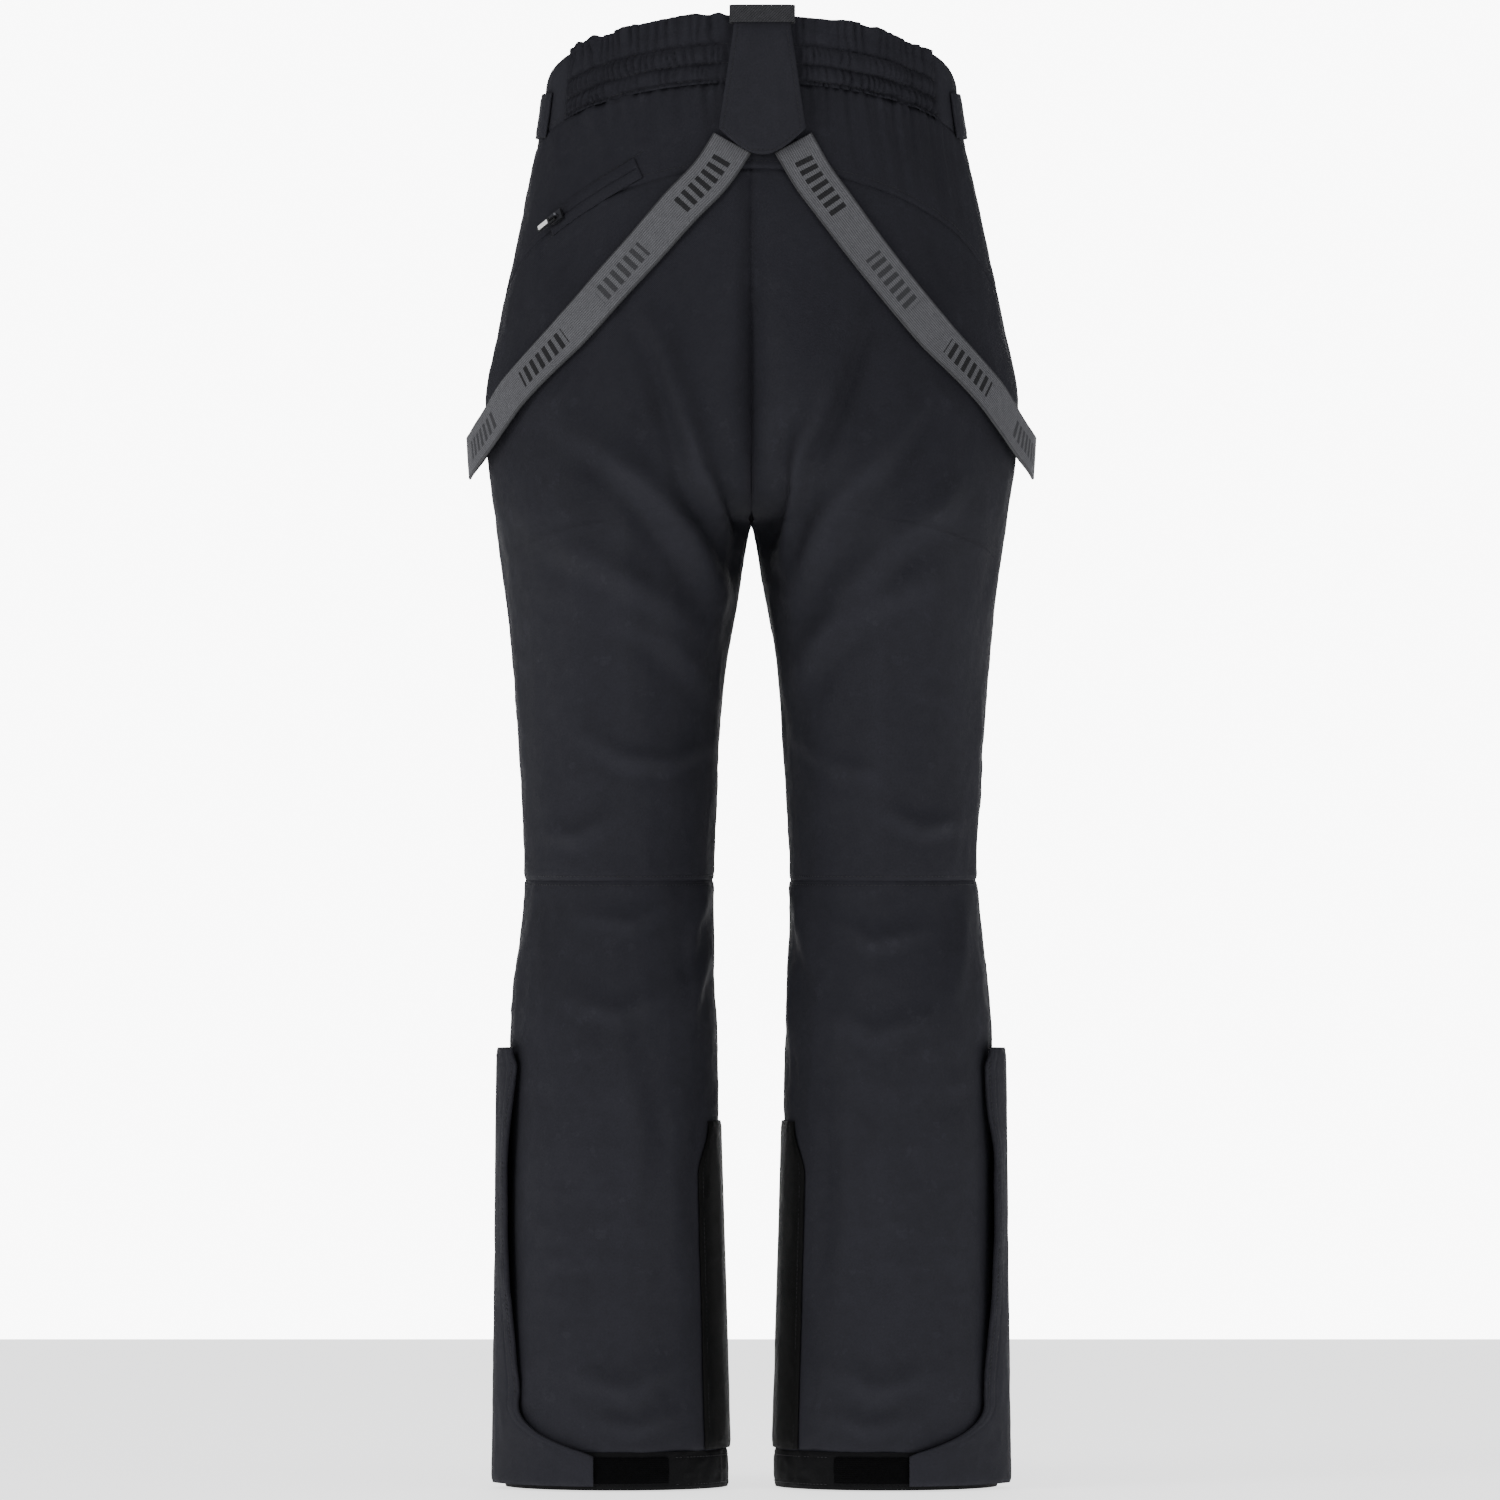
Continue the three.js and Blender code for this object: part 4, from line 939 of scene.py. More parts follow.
def on_tab(x, down, out):
    """Points in metres from the tab's own measures: across, down from its head, and outwards."""
    spread_out = [np.asarray(value, dtype=float)[..., None] for value in (x, down, out)]
    return (TAB_HEAD + spread_out[0] * np.array([1.0, 0, 0]) + spread_out[1] * TAB_DOWN
            + spread_out[2] * TAB_OUT) / 1000


def tab_half_width(down):
    """Half the tab's width: nearly straight at the head, flaring, with a rounded point."""
    straight = np.interp(down, [0, 19, 92], [20.5, 21.5, 32])
    left = np.sqrt(np.clip((TAB_LENGTH - down) / 20, 0, 1))
    point = 32 * left ** 2 + 25.6 * left * (1 - left)
    return np.where(down <= 92, straight, point)


def tab_face(x, down):
    """Outer face of the tab over its stand-off."""
    half = np.maximum(tab_half_width(down), 0.01)
    inset = np.minimum(half - np.abs(x), TAB_LENGTH - down)
    puff = 0.9 * (1 - (x / np.maximum(half, 8)) ** 2) * smooth(10, 40, down)
    soft = np.stack([x, x * 0, down], -1)
    return (2.6 + puff - 1.1 * np.exp(-((np.clip(inset, 0, None) / 1.6) ** 2))
            - 0.45 * np.exp(-(((inset - 3.4) / 1.0) ** 2)) + 0.35 * noise(soft, (17, 17, 21), 131)
            + 0.2 * wrinkles(soft, (8, 8, 9), 133) * smooth(16, 30, down))


def make_back_tab():
    """The tab that carries the straps behind, and the webbing loop round its head."""
    down = np.concatenate([np.linspace(0, 92, 62), 112 - 20 * (1 - np.linspace(0, 1, 22)[1:]) ** 2])
    share = np.sin(np.linspace(-1, 1, 47) * math.pi / 2) * 0.5 + np.linspace(-1, 1, 47) * 0.5
    down, share = np.meshgrid(down, share, indexing="ij")
    x = share * np.maximum(tab_half_width(down), 0.4)
    outer = on_tab(x, down, 3.8 + tab_face(x, down))
    inner = on_tab(x, down, np.full(x.shape, 3.8))
    piece = two_layers("suspender_back_tab_cloth", outer, inner)
    finish_sheet(piece, outer, look("trim"), ("suspender_back_tab",),
                 "suspender_back_tab")
    turn = np.linspace(0, 2 * math.pi, 97)
    rows = np.linspace(0, 13, 14)
    down, turn = np.meshgrid(rows, turn, indexing="ij")

    def ring(grow):
        c, s = np.cos(turn), np.sin(turn)
        across = (23.0 + grow) * np.sign(c) * np.abs(c) ** 0.28
        out = 5.1 + (2.8 + grow) * np.sign(s) * np.abs(s) ** 0.5
        return on_tab(across, down, out + 0.12 * noise(np.stack([across, down, out], -1), (9, 9, 9), 7))

    outer = ring(1.3)
    piece = two_layers("belt_loop_back_webbing", outer, ring(0.05), closed=True)
    finish_sheet(piece, outer, look("loop"), ("belt_loop_back",))


STRAP_ROUTE = np.array([
    (82, 48, 2.2), (77, 72, 2.2), (71, 94, 2.6), (60, 136, 3), (47, 182, 3.6), (31, 230, 5),
    (16, 264, 9), (0, 278, 14), (-15, 268, 13), (-27, 238, 8), (-37, 202, 5), (-45, 164, 4),
    (-53, 124, 3.6), (-60, 86, 2.8), (-66, 50, 2.4),
])


def strap_middle(side, count):
    """Middle line of a strap and its outward and sideways directions, in millimetres."""
    route = STRAP_ROUTE * np.array([1, -1, 1]) + np.array([0, WAIST, 0])
    route = np.concatenate([[2 * route[0] - route[1]], route, [2 * route[-1] - route[-2]]])
    places = []
    for share in np.linspace(0, 1, count + 1):
        at = min(share * (len(STRAP_ROUTE) - 1), len(STRAP_ROUTE) - 1 - 1e-9)
        k, t = int(at), at - int(at)
        p = route[k:k + 4]
        d = [np.linalg.norm(p[i + 1] - p[i]) ** 0.5 for i in range(3)]
        start = ((p[1] - p[0]) / d[0] - (p[2] - p[0]) / (d[0] + d[1]) + (p[2] - p[1]) / d[1]) * d[1]
        end = ((p[2] - p[1]) / d[1] - (p[3] - p[1]) / (d[1] + d[2]) + (p[3] - p[2]) / d[2]) * d[1]
        rest = (2 * p[1] - 2 * p[2] + start + end) * t ** 3
        places.append(p[1] + start * t + (3 * p[2] - 3 * p[1] - 2 * start - end) * t ** 2 + rest)
    places = np.array(places)
    fade = smooth(0, 1, 1 - np.linspace(0, 44, count + 1) / 14)
    angle = np.radians(places[:, 0]) - side * 8 / 152 * fade
    at = body_point(side, angle, places[:, 1], places[:, 2])
    forward = np.gradient(at, axis=0)
    forward /= np.linalg.norm(forward, axis=-1, keepdims=True)
    here = body_point(side, angle, places[:, 1], 0)
    out = np.cross(body_point(side, angle + 0.01, places[:, 1], 0) - here,
                   body_point(side, angle, places[:, 1] + 1, 0) - here) * -side
    out -= (out * forward).sum(-1, keepdims=True) * forward
    out /= np.linalg.norm(out, axis=-1, keepdims=True)
    return at, forward, out, np.cross(forward, out)


def make_straps():
    """The two elastic straps, sewn under the tab behind and running round to the front."""
    for side, hand in both_sides():
        at, _, out, across = strap_middle(side, 352)
        x = np.linspace(-16, 16, 25)
        length = np.concatenate([[0], np.cumsum(np.linalg.norm(np.diff(at, axis=0), axis=-1))])
        grid = np.stack(np.broadcast_arrays(x[None, :], length[:, None], 0 * x[None, :]), -1)
        wave = 0.45 * noise(grid, (60, 34, 10), 140 + side) * (np.abs(x) / 16)[None, :] ** 2
        bead = 0.18 * np.exp(-(((16 - np.abs(x)) - 1.1) / 0.6) ** 2)[None, :]
        rim = 0.45 * np.exp(-((16 - np.abs(x)) / 0.5) ** 2)[None, :]
        middle = at[:, None, :] + across[:, None, :] * x[None, :, None]
        outer = (middle + out[:, None, :] * (0.9 + wave + bead - rim)[..., None]) / 1000
        inner = (middle + out[:, None, :] * (wave - 0.9)[..., None]) / 1000
        piece = two_layers(f"suspender_strap_webbing_{hand}", outer, inner)
        finish_sheet(piece, outer, look("strap"), (f"suspender_strap_{hand}",), None)
        near, far = at[np.searchsorted(length, 70)] / 1000, at[np.searchsorted(length, 205)] / 1000
        towards = np.array([0.4 * side, 0.75, -0.52])
        reach = (far - near) @ towards
        tuple(near + reach * towards)
        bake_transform(piece)


# ---------------------------------------------------------------- lower legs

def flap_edge(z):
    fade = np.clip((63 - z) / 37, 0, 1) ** 2
    return between(33.0, 79.0, fade) - smooth(311, 325, z) * 5


def flap_waver(side, z):
    """How the flap's free edge wanders from its straight line, in degrees."""
    pulled = np.interp(z, [70, 100, 142, 190, 240, 280, 325], [0, -2, -6, -9, -9.5, -6, -2])
    return pulled * smooth(66, 100, z) * (1 if side == LEFT else 0.8) + 1.2 * smooth(60, 90, z) * noise(
        np.stack([z * 0, z * 0 + 40 * side, z], -1), (9, 9, 40), 151)


def flap_lift(degrees, z, flat):
    """Outer face of the flap above the body: its stand, ripples and lifted free edge."""
    loose = smooth(2, 24, degrees) * smooth(24, 70, z)
    ripple = noise(flat, (40, 40, 40), 153) + 0.6 * noise(flat, (19, 19, 22), 154)
    gape = 3.4 * smooth(12, 30, degrees) * smooth(110, 160, z) * (1 - smooth(250, 300, z))
    crumple = wrinkles(flat, (12, 12, 17), 155) * smooth(-8, 2, degrees)
    return flap_stand(degrees) + loose * (0.8 + 1.1 * ripple) + gape + 0.3 * crumple


def flap_stand(degrees):
    return 0.9 + 6.7 * smooth(-14, -5, degrees) * (1 - 0.72 * smooth(7, 40, degrees))


def make_leg_flaps(step):
    """The flaps over the leg zips, with their fastening tabs at the hems."""
    for side, hand in both_sides():
        def angle_of(u, z, side=side):
            free = flap_edge(z) + flap_waver(side, z)
            sewn = between(-14.0, 22.0, u / 0.6)
            loose = between(22.0, free, (u - 0.6) / 0.4)
            return np.radians(np.where(u < 0.6, sewn, loose))

        def z_of(u, v):
            return between(3, 325, v) + 0 * u

        def shape(u, v, angle, z, flat, side=side):
            return flap_lift(np.degrees(angle), z, flat)

        panel(f"leg_flap_cloth_{hand}", side, angle_of, z_of, int(190 / step), int(330 / step),
              slot="shell_fabric", material=look("shell"), nodes=(f"leg_flap_{hand}",), thickness=2.2,
              stand=2.2, fold=0, edges=("start", "end", "foot", "top"), curl=0.8, pucker=0.5,
              lines=(("end", 3.2), ("end", 10.5), ("top", 3.2)), shape=shape, body=f"leg_flap_{hand}")


def make_hems():
    """The cuffs, their fastening strips, the scuff guards and the snow gaiters."""
    for side, hand in both_sides():
        def crumpled(u, v, angle, z, flat):
            degrees = np.degrees(angle)
            turned = smooth(52, 58, degrees) * (1 - smooth(120, 128, degrees))
            covered = np.where(degrees < 84, 1.0, 0) + turned
            bare = 1 - np.clip(covered, 0, 1)
            folds = 0.9 * wrinkles(flat, (11, 11, 8), 161) + 0.8 * noise(flat, (20, 20, 16), 162)
            return folds * (0.18 + 0.82 * bare) * smooth(0, 0.15, v + 0.05)

        patch_panel(f"hem_cuff_cloth_{hand}", side, 3, 357, 0, CUFF, 260, 22, slot="cuff_fabric",
                    material=look("cuff"), nodes=(f"hem_cuff_{hand}",), fold=0.1, held="laid",
                    curl=0.9, lines=(("foot", 4), ("top", 4)), shape=crumpled)
        patch_panel(f"hem_loop_strip_{hand}", side, 60, 118, 5, 24, 90, 16, slot="hook_and_loop",
                    material=look("hook"), nodes=(f"hem_loop_patch_{hand}",), thickness=1.0, stand=1.6,
                    fold=0, held="laid", curl=0.5,
                    shape=lambda u, v, angle, z, flat: 0.15 * noise(flat, (5, 5, 4), 165))

        def guard_angle(u, z):
            slant = smooth(231, 271, z) * 12
            return np.radians(between(142 + slant, 226 - slant, u))

        rim = (("start", 3), ("end", 3), ("top", 3), ("foot", 3))
        panel(f"scuff_guard_cloth_{hand}", side, guard_angle,
              lambda u, v: between(CUFF + 1, 271, v) + 0 * u, 50, 96, slot="scuff_guard",
              material=look("guard"), nodes=(f"scuff_guard_{hand}",), thickness=1.2, stand=2.6, fold=0.16,
              held="laid", curl=0.9, lines=rim,
              shape=lambda u, v, angle, z, flat: 0.35 * wrinkles(flat, (24, 24, 34), 171))

        def drawn(u, v, angle, z, flat):
            draw = 15 * (1 - smooth(0, 0.9, v))
            gathers = np.cos(angle * 31 + 2 * noise(flat, (30, 30, 60), 173)) * (1 - smooth(0.05, 0.8, v))
            return -draw + 0.9 * gathers - 0.4

        patch_panel(f"snow_gaiter_cloth_{hand}", side, 0, 360, 14, 215, 280, 60, slot="lining",
                    material=look("lining"), nodes=(f"snow_gaiter_{hand}",), thickness=1.0, stand=-4.1,
                    fold=0, edges=("foot", "top"), curl=0.3, shape=drawn, closed=True, held="gathered")


# ---------------------------------------------------------------- small hard pieces

def model_stitch():
    """One stitch: a short thread that dips into the cloth at both ends, lying along X."""
    bpy.ops.object.select_all(action="DESELECT")
    bpy.ops.mesh.primitive_uv_sphere_add(segments=6, ring_count=5, radius=1, rotation=(0, math.pi / 2, 0))
    stitch = bpy.context.object
    stitch.name = "stitch pattern"
    bpy.ops.object.transform_apply(location=True, rotation=True, scale=True)
    bpy.ops.object.mode_set(mode="EDIT")
    bpy.ops.mesh.select_all(action="SELECT")
    bpy.ops.transform.resize(value=(1.25, 0.30, 0.26))
    bpy.ops.object.mode_set(mode="OBJECT")
    return stitch


def model_tooth():
    """One zip tooth: a rounded bar that lies across the tape along X."""
    bpy.ops.object.select_all(action="DESELECT")
    bpy.ops.mesh.primitive_cube_add(size=1)
    tooth = bpy.context.object
    tooth.name = "tooth pattern"
    bpy.ops.object.mode_set(mode="EDIT")
    bpy.ops.mesh.select_all(action="SELECT")
    bpy.ops.transform.resize(value=(5.4, 0.95, 0.9))
    bpy.ops.mesh.bevel(offset=0.22, segments=1, affect="EDGES")
    bpy.ops.object.mode_set(mode="OBJECT")
    return tooth


def pattern_faces(pattern):
    """A pattern's points and faces, as arrays, in millimetres."""
    points = np.zeros(len(pattern.data.vertices) * 3)
    pattern.data.vertices.foreach_get("co", points)
    return points.reshape(-1, 3), [list(face.vertices) for face in pattern.data.polygons]


def repeat_pattern(name, pattern, frames, material, body):
    """One object of many copies of a pattern, each set at (place, along, out) in metres."""
    points, faces = pattern_faces(pattern)
    all_points, all_faces = [], []
    for place, along, out in frames:
        side = np.cross(out, along)
        turn = np.stack([along, side, out])
        all_faces += [[i + len(all_points) * len(points) for i in face] for face in faces]
        all_points.append(place + points @ turn / 1000)
    mesh = bpy.data.meshes.new(name)
    mesh.from_pydata(np.concatenate(all_points).tolist(), [], all_faces)
    mesh.polygons.foreach_set("use_smooth", np.ones(len(all_faces), dtype=bool))
    piece = bpy.data.objects.new(name, mesh)
    bpy.context.scene.collection.objects.link(piece)
    piece.data.materials.append(material)
    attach(piece, body)
    return piece


def walk(points, normals, pitch, start=0.0):
    """Frames at equal steps along a line of points in metres; pitch is in millimetres."""
    steps = np.linalg.norm(np.diff(points, axis=0), axis=-1)
    length = np.concatenate([[0], np.cumsum(steps)]) * 1000
    if length[-1] < pitch:
        return []
    places = np.arange(start + pitch / 2, length[-1] - pitch / 4, pitch)
    at = np.stack([np.interp(places, length, points[:, k]) for k in range(3)], -1)
    ahead = np.stack([np.interp(places + 0.6, length, points[:, k]) for k in range(3)], -1)
    behind = np.stack([np.interp(places - 0.6, length, points[:, k]) for k in range(3)], -1)
    out = np.stack([np.interp(places, length, normals[:, k]) for k in range(3)], -1)
    along = ahead - behind
    along /= np.linalg.norm(along, axis=-1, keepdims=True)
    out -= (out * along).sum(-1, keepdims=True) * along
    out /= np.linalg.norm(out, axis=-1, keepdims=True)
    return list(zip(at, along, out))


def cloth_line(side, angle, z, lift, folded=True):
    """Points and outward normals of a line that lies on the cloth; lift is in millimetres."""
    angle, z = np.broadcast_arrays(np.asarray(angle, float), np.asarray(z, float))
    place = surface if folded else (lambda s, a, h, l=0.0: body_point(s, a, h, l) / 1000)
    at = place(side, angle, z, lift)
    out = np.cross(body_point(side, angle + 0.01, z, 0) - body_point(side, angle - 0.01, z, 0),
                   body_point(side, angle, z + 1, 0) - body_point(side, angle, z - 1, 0)) * -side
    return at, out / np.linalg.norm(out, axis=-1, keepdims=True)


def make_stitching(pitch):
    """Topstitching along the seams and round the sewn-on pieces."""
    stitch = model_stitch()
    even = np.linspace(0, 1, 400)

    def sew(name, lines, body=BODY):
        frames = [frame_at for at, out in lines for frame_at in walk(at, out, pitch)]
        repeat_pattern(name, stitch, frames, look("thread"), body)

    arc = between(rad(2), rad(178), even)
    sew("yoke_stitching", [cloth_line(RIGHT, arc, yoke_seam(arc) + 5.8, -0.3)])
    rows = []
    for row in STITCH_ROWS:
        arc = between(rad(CASING_END + 1), rad(179 - CASING_END), np.linspace(0, 1, 1600))
        z = band_foot(arc) + row
        flat = body_point(RIGHT, arc, z, 0)
        lift = gathered_casing(np.linspace(0, 1, 1600), 0, arc, z, flat) + 0.1
        rows.append(cloth_line(RIGHT, arc, z, lift, folded=False))
    sew("waist_stitching", rows)
    for side, hand in both_sides():
        lines = []
        for face in (1, -1):
            angle = face * between(side_angle(KNEE) + 0.03, centre_angle(KNEE) - 0.03, even)
            lines.append(cloth_line(side, angle, KNEE + 3.3, -0.35))
            lines.append(cloth_line(side, angle, KNEE - 3.1, -0.35))
        sew(f"knee_stitching_{hand}", lines)
        lines = []
        for z in (4.0, 24.0):
            lines.append(cloth_line(side, between(rad(122), rad(352), even), np.full(400, z), 0.25, False))
        sew(f"cuff_stitching_{hand}", lines)
        z = between(CUFF + 3, 268, even)
        slant = smooth(231, 271, z) * 12
        guard = [cloth_line(side, np.radians(145 + slant), z, 2.5, False),
                 cloth_line(side, np.radians(223 - slant), z, 2.5, False),
                 cloth_line(side, between(rad(157), rad(211), even), np.full(400, 267.5), 2.5, False)]
        sew(f"guard_stitching_{hand}", guard)
        flap = []
        for inset in (3.2, 10.5):
            z = between(66, 322 - inset, even)
            degrees = flap_edge(z) + flap_waver(side, z) - inset / 1.86
            lift = 2.0 + flap_lift(degrees, z, body_point(side, np.radians(degrees), z, 2.2))
            flap.append(cloth_line(side, np.radians(degrees), z, lift, False))
        sew(f"flap_stitching_{hand}", flap, body=f"leg_flap_{hand}")
        front = between(rad(-88), rad(CASING_END - 2), even)
        sew(f"front_band_stitching_{hand}", [
            cloth_line(side, front, band_top(front) - 3.5, -0.15, False),
            cloth_line(side, front, band_foot(front) + 3.5, -0.15, False)])
        zip_sides = []
        share = even
        for across in (-9.5, 9.5):
            degrees = between(-30, -17, share) + across / 2.6
            zip_sides.append(cloth_line(side, np.radians(degrees), between(952, 840, share), 0.05))
        sew(f"hand_pocket_stitching_{hand}", zip_sides)
    edge = between(rad(30), rad(60), even)
    slope = between(931, 976, even)
    sew("back_pocket_stitching", [cloth_line(LEFT, edge, slope + 10, 0.05),
                                  cloth_line(LEFT, edge, slope - 9, 0.05)])
    down = np.concatenate([np.linspace(16, 92, 120), 112 - 20 * (1 - np.linspace(0, 1, 60)[1:]) ** 2])
    left = np.stack([-np.maximum(tab_half_width(down) - 3.3, 0), np.minimum(down, 108.6)], -1)
    rim = np.concatenate([left, left[::-1] * np.array([-1, 1])])
    out = np.broadcast_to(TAB_OUT, (len(rim), 3))
    at = on_tab(rim[:, 0], rim[:, 1], 3.8 + tab_face(rim[:, 0], rim[:, 1]) + 0.05)
    sew("back_tab_stitching", [(at, out)], body="suspender_back_tab")
    bpy.data.objects.remove(stitch)


def make_zip_teeth():
    """Teeth along each zip."""
    tooth = model_tooth()
    share = np.linspace(0, 1, 200)
    runs = {"fly_teeth": (RIGHT, -90, -90, 962, 858)}
    for side, hand in both_sides():
        runs[f"hand_pocket_teeth_{hand}"] = (side, -30, -17, 950, 842)
        runs[f"leg_zip_teeth_{hand}"] = (side, 0, 0, ZIP_TOP, 8)
    for name, (side, start, end, top, foot) in runs.items():
        angle, height = between(rad(start), rad(end), share), between(top, foot, share)
        at, out = cloth_line(side, angle, height, 2.5, False)
        frames = [(place, np.cross(along, normal), normal)
                  for place, along, normal in walk(at, out, 1.7)]
        repeat_pattern(name, tooth, frames, look("teeth"), BODY)
    bpy.data.objects.remove(tooth)


def make_pocket_lips():
    """The two cloth lips that meet over the back pocket's hidden zip."""
    share = np.linspace(0, 1, 90)[:, None]
    x = np.linspace(-8.5, 8.5, 41)[None, :]
    degrees, z = between(30.6, 59.4, share), between(932, 974, share)
    middle, out = cloth_line(LEFT, np.radians(degrees[:, 0]), z[:, 0], 0, False)
    along = np.gradient(middle, axis=0)
    across = np.cross(along, out)
    across /= np.linalg.norm(across, axis=-1, keepdims=True)
    ends = smooth(0, 0.03, share) * smooth(0, 0.03, 1 - share)
    lift = 0.2 + 0.9 * (1 - smooth(4.0, 8.5, np.abs(x))) - 1.1 * np.exp(-((x / 0.8) ** 2))
    places = np.stack(np.broadcast_arrays(x, share * 80, 0), -1)
    lift = lift * (0.35 + 0.65 * ends) + 0.2 * noise(places, (6, 9, 9), 5)
    base = middle[:, None, :] + across[:, None, :] * x[..., None] / 1000
    outer = base + out[:, None, :] * (lift + 0.7)[..., None] / 1000
    inner = base + out[:, None, :] * (lift - 0.5)[..., None] / 1000
    piece = two_layers("back_pocket_lips", outer, inner)
    finish_sheet(piece, outer, look("shell"), ("back_pocket_zip",))


def node_points(node):
    """Points of a CAD object, in metres."""
    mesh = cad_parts[node].data
    points = np.zeros(len(mesh.vertices) * 3)
    mesh.vertices.foreach_get("co", points)
    return points.reshape(-1, 3)


def make_hardware():
    """Materials of the sliders, pulls, snaps and glides, and the pulls' pale inlays."""
    finishes = {"tape": ["fly_zip"], "metal": ["fly_slider", "back_pocket_slider",
                "snap_cap_lower", "snap_cap_upper"], "plastic": ["fly_pull", "back_pocket_pull"]}
    for _, hand in both_sides():
        finishes["tape"] += [f"hand_pocket_zip_{hand}", f"leg_zip_{hand}"]
        finishes["metal"] += [f"hand_pocket_slider_{hand}", f"leg_zip_slider_{hand}"]
        finishes["plastic"] += [f"hand_pocket_pull_{hand}", f"strap_glide_{hand}"]
    for material, nodes in finishes.items():
        for node in nodes:
            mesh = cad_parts[node].data
            mesh.materials.clear()
            mesh.materials.append(look(material))
    for node in ("back_pocket_pull", "hand_pocket_pull_right", "hand_pocket_pull_left"):
        points = node_points(node)
        middle = points.mean(axis=0)
        axes = np.linalg.svd(points - middle, full_matrices=False)[2]
        long, _, thin = axes
        reach = (points - middle) @ long
        middle = middle + long * (reach.max() + reach.min()) / 2
        if thin[:2] @ middle[:2] < 0:
            thin = -thin
        tail = long if len(reach[reach > 0]) > len(reach[reach < 0]) else -long
        bpy.ops.object.select_all(action="DESELECT")
        bpy.ops.mesh.primitive_cube_add(size=1)
        inlay = bpy.context.object
        inlay.name = inlay.data.name = f"{node}_inlay"
        bpy.ops.object.mode_set(mode="EDIT")
        bpy.ops.mesh.select_all(action="SELECT")
        bpy.ops.transform.resize(value=(0.0098, 0.0034, 0.0007))
        bpy.ops.mesh.bevel(offset=0.0003, segments=2, affect="EDGES")
        bpy.ops.object.mode_set(mode="OBJECT")
        place = middle + tail * 0.0026 + thin * 0.0008
        turn = np.stack([tail, np.cross(thin, tail), thin])
        local = np.zeros(len(inlay.data.vertices) * 3)
        inlay.data.vertices.foreach_get("co", local)
        inlay.data.vertices.foreach_set("co", (place + local.reshape(-1, 3) @ turn).ravel())
        inlay.data.update()
        inlay.data.materials.append(look("white"))
        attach(inlay, node)


# ---------------------------------------------------------------- the studio

def make_sheet_of_paper(name, size, place, turn, shade, glow):
    """A flat square of glowing studio paper."""
    bpy.ops.object.select_all(action="DESELECT")
    bpy.ops.mesh.primitive_plane_add(size=size, location=place, rotation=turn)
    paper = bpy.context.object
    paper.name = paper.data.name = name
    bpy.ops.object.transform_apply(location=True, rotation=True, scale=True)
    paper.data.materials.append(studio_paper(name.replace("_", " "), shade, glow))
    return paper


def make_lamp(name, place, aim, size, power):
    """A square soft lamp at one place, turned towards another."""
    light = bpy.data.lights.new(name, "AREA")
    light.shape = "SQUARE"
    light.size = size
    light.energy = power
    lamp = bpy.data.objects.new(name, light)
    lamp.location = place
    way = np.array(aim, float) - np.array(place, float)
    from_above = math.atan2(math.hypot(way[0], way[1]), -way[2])
    lamp.rotation_euler = (from_above, 0, math.atan2(-way[0], way[1]))
    bpy.context.scene.collection.objects.link(lamp)
    return lamp


def make_stage(key, fill):
    """Pale floor and backdrop, soft lamps and the camera behind the pants."""
    make_sheet_of_paper("floor", 6, (0, 0, -1.0412), (0, 0, 0), 0.9, 1.6)
    make_sheet_of_paper("backdrop", 9, (0, 14.0, 0), (math.pi / 2, 0, 0), 0.9, 9.0)
    make_lamp("key lamp", (-3.0, -2.6, 1.5), (0, 0, -0.45), 1.6, key)
    make_lamp("fill lamp", (2.8, -2.8, 0.2), (0, 0, -0.55), 2.6, fill)
    make_lamp("top lamp", (0.2, -0.6, 2.4), (0, 0, -0.4), 2.0, 0.5 * key)
    world = bpy.data.worlds.new("studio")
    world.use_nodes = True
    world.node_tree.nodes["Background"].inputs[0].default_value = (0.9, 0.92, 1.0, 1)
    world.node_tree.nodes["Background"].inputs[1].default_value = 0.28
    bpy.context.scene.world = world
    camera_data = bpy.data.cameras.new("camera")
    camera_data.lens = 388.0
    camera_data.sensor_width = 36
    camera = bpy.data.objects.new("camera", camera_data)
    camera.location = (-0.001, -12.0, -0.4945)
    camera.rotation_euler = (math.pi / 2, 0, 0)
    bpy.context.scene.collection.objects.link(camera)
    bpy.context.scene.camera = camera


# ---------------------------------------------------------------- the add-on

class SkiPantsCloth(bpy.types.PropertyGroup):
    """How finely the cloth is made."""
    step: bpy.props.FloatProperty(
        name="Cloth step", description="Spacing of the cloth's points",
        default=0.0028, min=0.0015, max=0.02, precision=4, unit="LENGTH")
    stitch: bpy.props.FloatProperty(
        name="Stitch length", description="Distance from one stitch to the next",
        default=0.0034, min=0.002, max=0.02, precision=4, unit="LENGTH")


def millimetres(length):
    """A length setting in millimetres."""
    return round(1000 * length, 2)


class SkiPantsStudio(bpy.types.PropertyGroup):
    """The lamps."""
    key: bpy.props.FloatProperty(
        name="Key lamp", description="Power of the main lamp", default=66, min=0, unit="POWER")
    fill: bpy.props.FloatProperty(
        name="Fill lamp", description="Power of the lamp on the other side", default=15, min=0, unit="POWER")


class SKIPANTS_OT_leg_panels(bpy.types.Operator):
    """Make the eight sewn panels of the legs"""
    bl_idname = "ski_pants.leg_panels"
    bl_label = "Leg panels"

    def execute(self, context):
        make_leg_panels(millimetres(context.scene.ski_pants_cloth.step))
        return {"FINISHED"}


class SKIPANTS_OT_yoke(bpy.types.Operator):
    """Make the back yoke"""
    bl_idname = "ski_pants.yoke"
    bl_label = "Back yoke"

    def execute(self, context):
        make_yoke(millimetres(context.scene.ski_pants_cloth.step))
        return {"FINISHED"}


class SKIPANTS_OT_waistband(bpy.types.Operator):
    """Make the gathered casing, front bands, elastic and facing"""
    bl_idname = "ski_pants.waistband"
    bl_label = "Waistband"

    def execute(self, context):
        make_waistband()
        return {"FINISHED"}


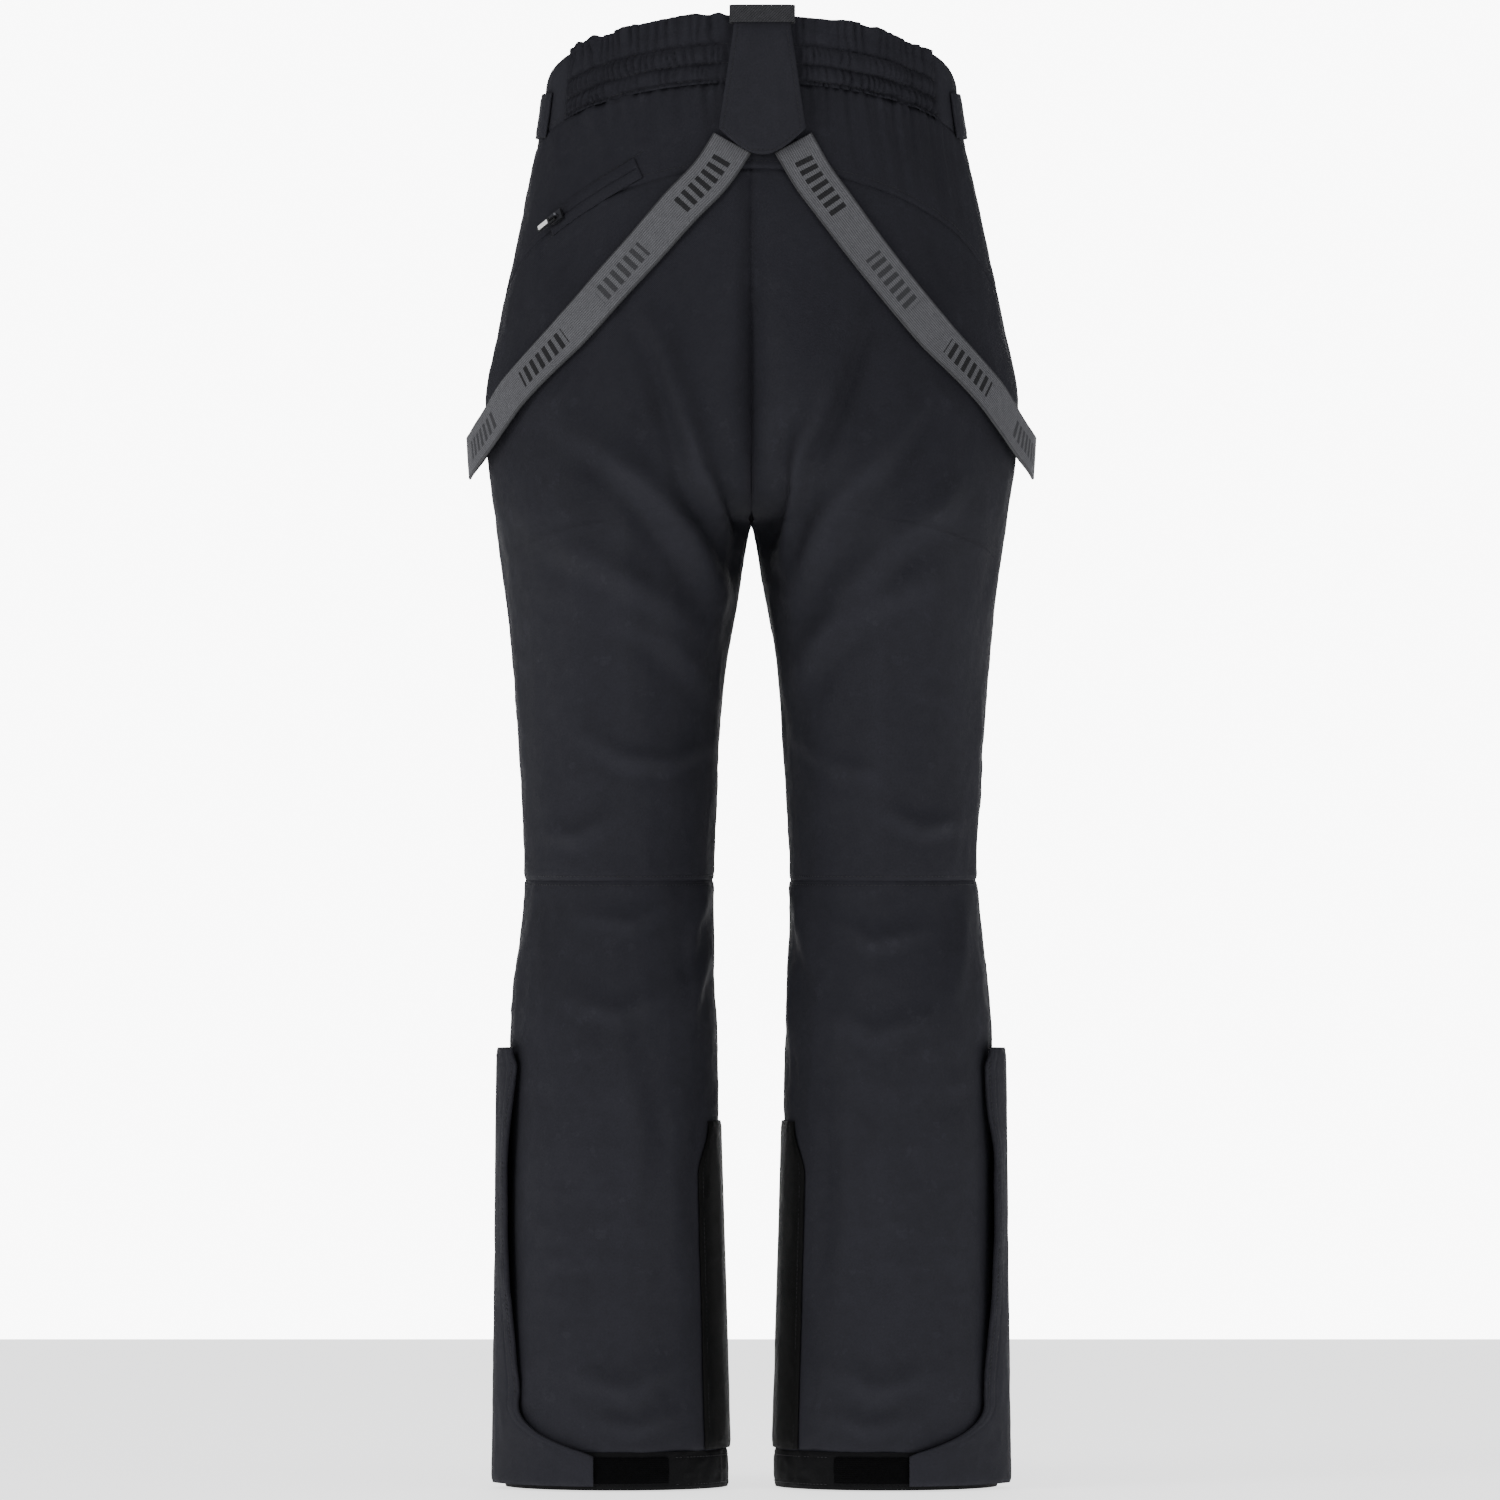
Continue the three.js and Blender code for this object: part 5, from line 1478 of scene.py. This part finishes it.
class SKIPANTS_OT_inner_pieces(bpy.types.Operator):
    """Make the pocket bags and the fly shield"""
    bl_idname = "ski_pants.inner_pieces"
    bl_label = "Pocket bags"

    def execute(self, context):
        make_inner_pieces()
        return {"FINISHED"}


class SKIPANTS_OT_waist_tabs(bpy.types.Operator):
    """Make the closing tab, side adjusters, belt loops and front strap tabs"""
    bl_idname = "ski_pants.waist_tabs"
    bl_label = "Waist tabs"

    def execute(self, context):
        make_waist_tabs()
        return {"FINISHED"}


class SKIPANTS_OT_suspenders(bpy.types.Operator):
    """Make the back tab, its webbing loop and the two straps"""
    bl_idname = "ski_pants.suspenders"
    bl_label = "Suspenders"

    def execute(self, context):
        make_back_tab()
        make_straps()
        return {"FINISHED"}


class SKIPANTS_OT_leg_flaps(bpy.types.Operator):
    """Make the flaps over the leg zips"""
    bl_idname = "ski_pants.leg_flaps"
    bl_label = "Leg flaps"

    def execute(self, context):
        make_leg_flaps(millimetres(context.scene.ski_pants_cloth.step))
        return {"FINISHED"}


class SKIPANTS_OT_hems(bpy.types.Operator):
    """Make the cuffs, fastening strips, scuff guards and gaiters"""
    bl_idname = "ski_pants.hems"
    bl_label = "Hems"

    def execute(self, context):
        make_hems()
        return {"FINISHED"}


class SKIPANTS_OT_stitching(bpy.types.Operator):
    """Sew the topstitching"""
    bl_idname = "ski_pants.stitching"
    bl_label = "Stitching"

    def execute(self, context):
        make_stitching(millimetres(context.scene.ski_pants_cloth.stitch))
        return {"FINISHED"}


class SKIPANTS_OT_zips(bpy.types.Operator):
    """Make the zip teeth and finish the sliders, pulls, snaps and glides"""
    bl_idname = "ski_pants.zips"
    bl_label = "Zips and hardware"

    def execute(self, context):
        make_zip_teeth()
        make_pocket_lips()
        make_hardware()
        return {"FINISHED"}


class SKIPANTS_OT_stage(bpy.types.Operator):
    """Set up the floor, backdrop, lamps and camera"""
    bl_idname = "ski_pants.stage"
    bl_label = "Stage"

    def execute(self, context):
        studio = context.scene.ski_pants_studio
        make_stage(studio.key, studio.fill)
        return {"FINISHED"}


PIECES = (SKIPANTS_OT_leg_panels, SKIPANTS_OT_yoke, SKIPANTS_OT_waistband, SKIPANTS_OT_inner_pieces,
          SKIPANTS_OT_waist_tabs, SKIPANTS_OT_suspenders, SKIPANTS_OT_leg_flaps, SKIPANTS_OT_hems,
          SKIPANTS_OT_stitching, SKIPANTS_OT_zips, SKIPANTS_OT_stage)


class SKIPANTS_PT_panel(bpy.types.Panel):
    """Buttons for each part of the ski pants"""
    bl_idname = "SKIPANTS_PT_panel"
    bl_label = "Ski Pants"
    bl_space_type = "VIEW_3D"
    bl_region_type = "UI"
    bl_category = "Ski Pants"

    def draw(self, context):
        column = self.layout.column()
        column.prop(context.scene.ski_pants_cloth, "step")
        column.prop(context.scene.ski_pants_cloth, "stitch")
        column.prop(context.scene.ski_pants_studio, "key")
        column.prop(context.scene.ski_pants_studio, "fill")
        for piece in PIECES:
            column.operator(piece.bl_idname)


CLASSES = (SkiPantsCloth, SkiPantsStudio, *PIECES, SKIPANTS_PT_panel)


def register():
    for item in CLASSES:
        bpy.utils.register_class(item)
    bpy.types.Scene.ski_pants_cloth = bpy.props.PointerProperty(type=SkiPantsCloth)
    bpy.types.Scene.ski_pants_studio = bpy.props.PointerProperty(type=SkiPantsStudio)


def unregister():
    del bpy.types.Scene.ski_pants_studio
    del bpy.types.Scene.ski_pants_cloth
    for item in reversed(CLASSES):
        bpy.utils.unregister_class(item)


def main():
    """Builds every piece in order."""
    register()
    for piece in PIECES:
        group, _, name = piece.bl_idname.partition(".")
        getattr(getattr(bpy.ops, group), name)()


if __name__ == "__main__":
    main()
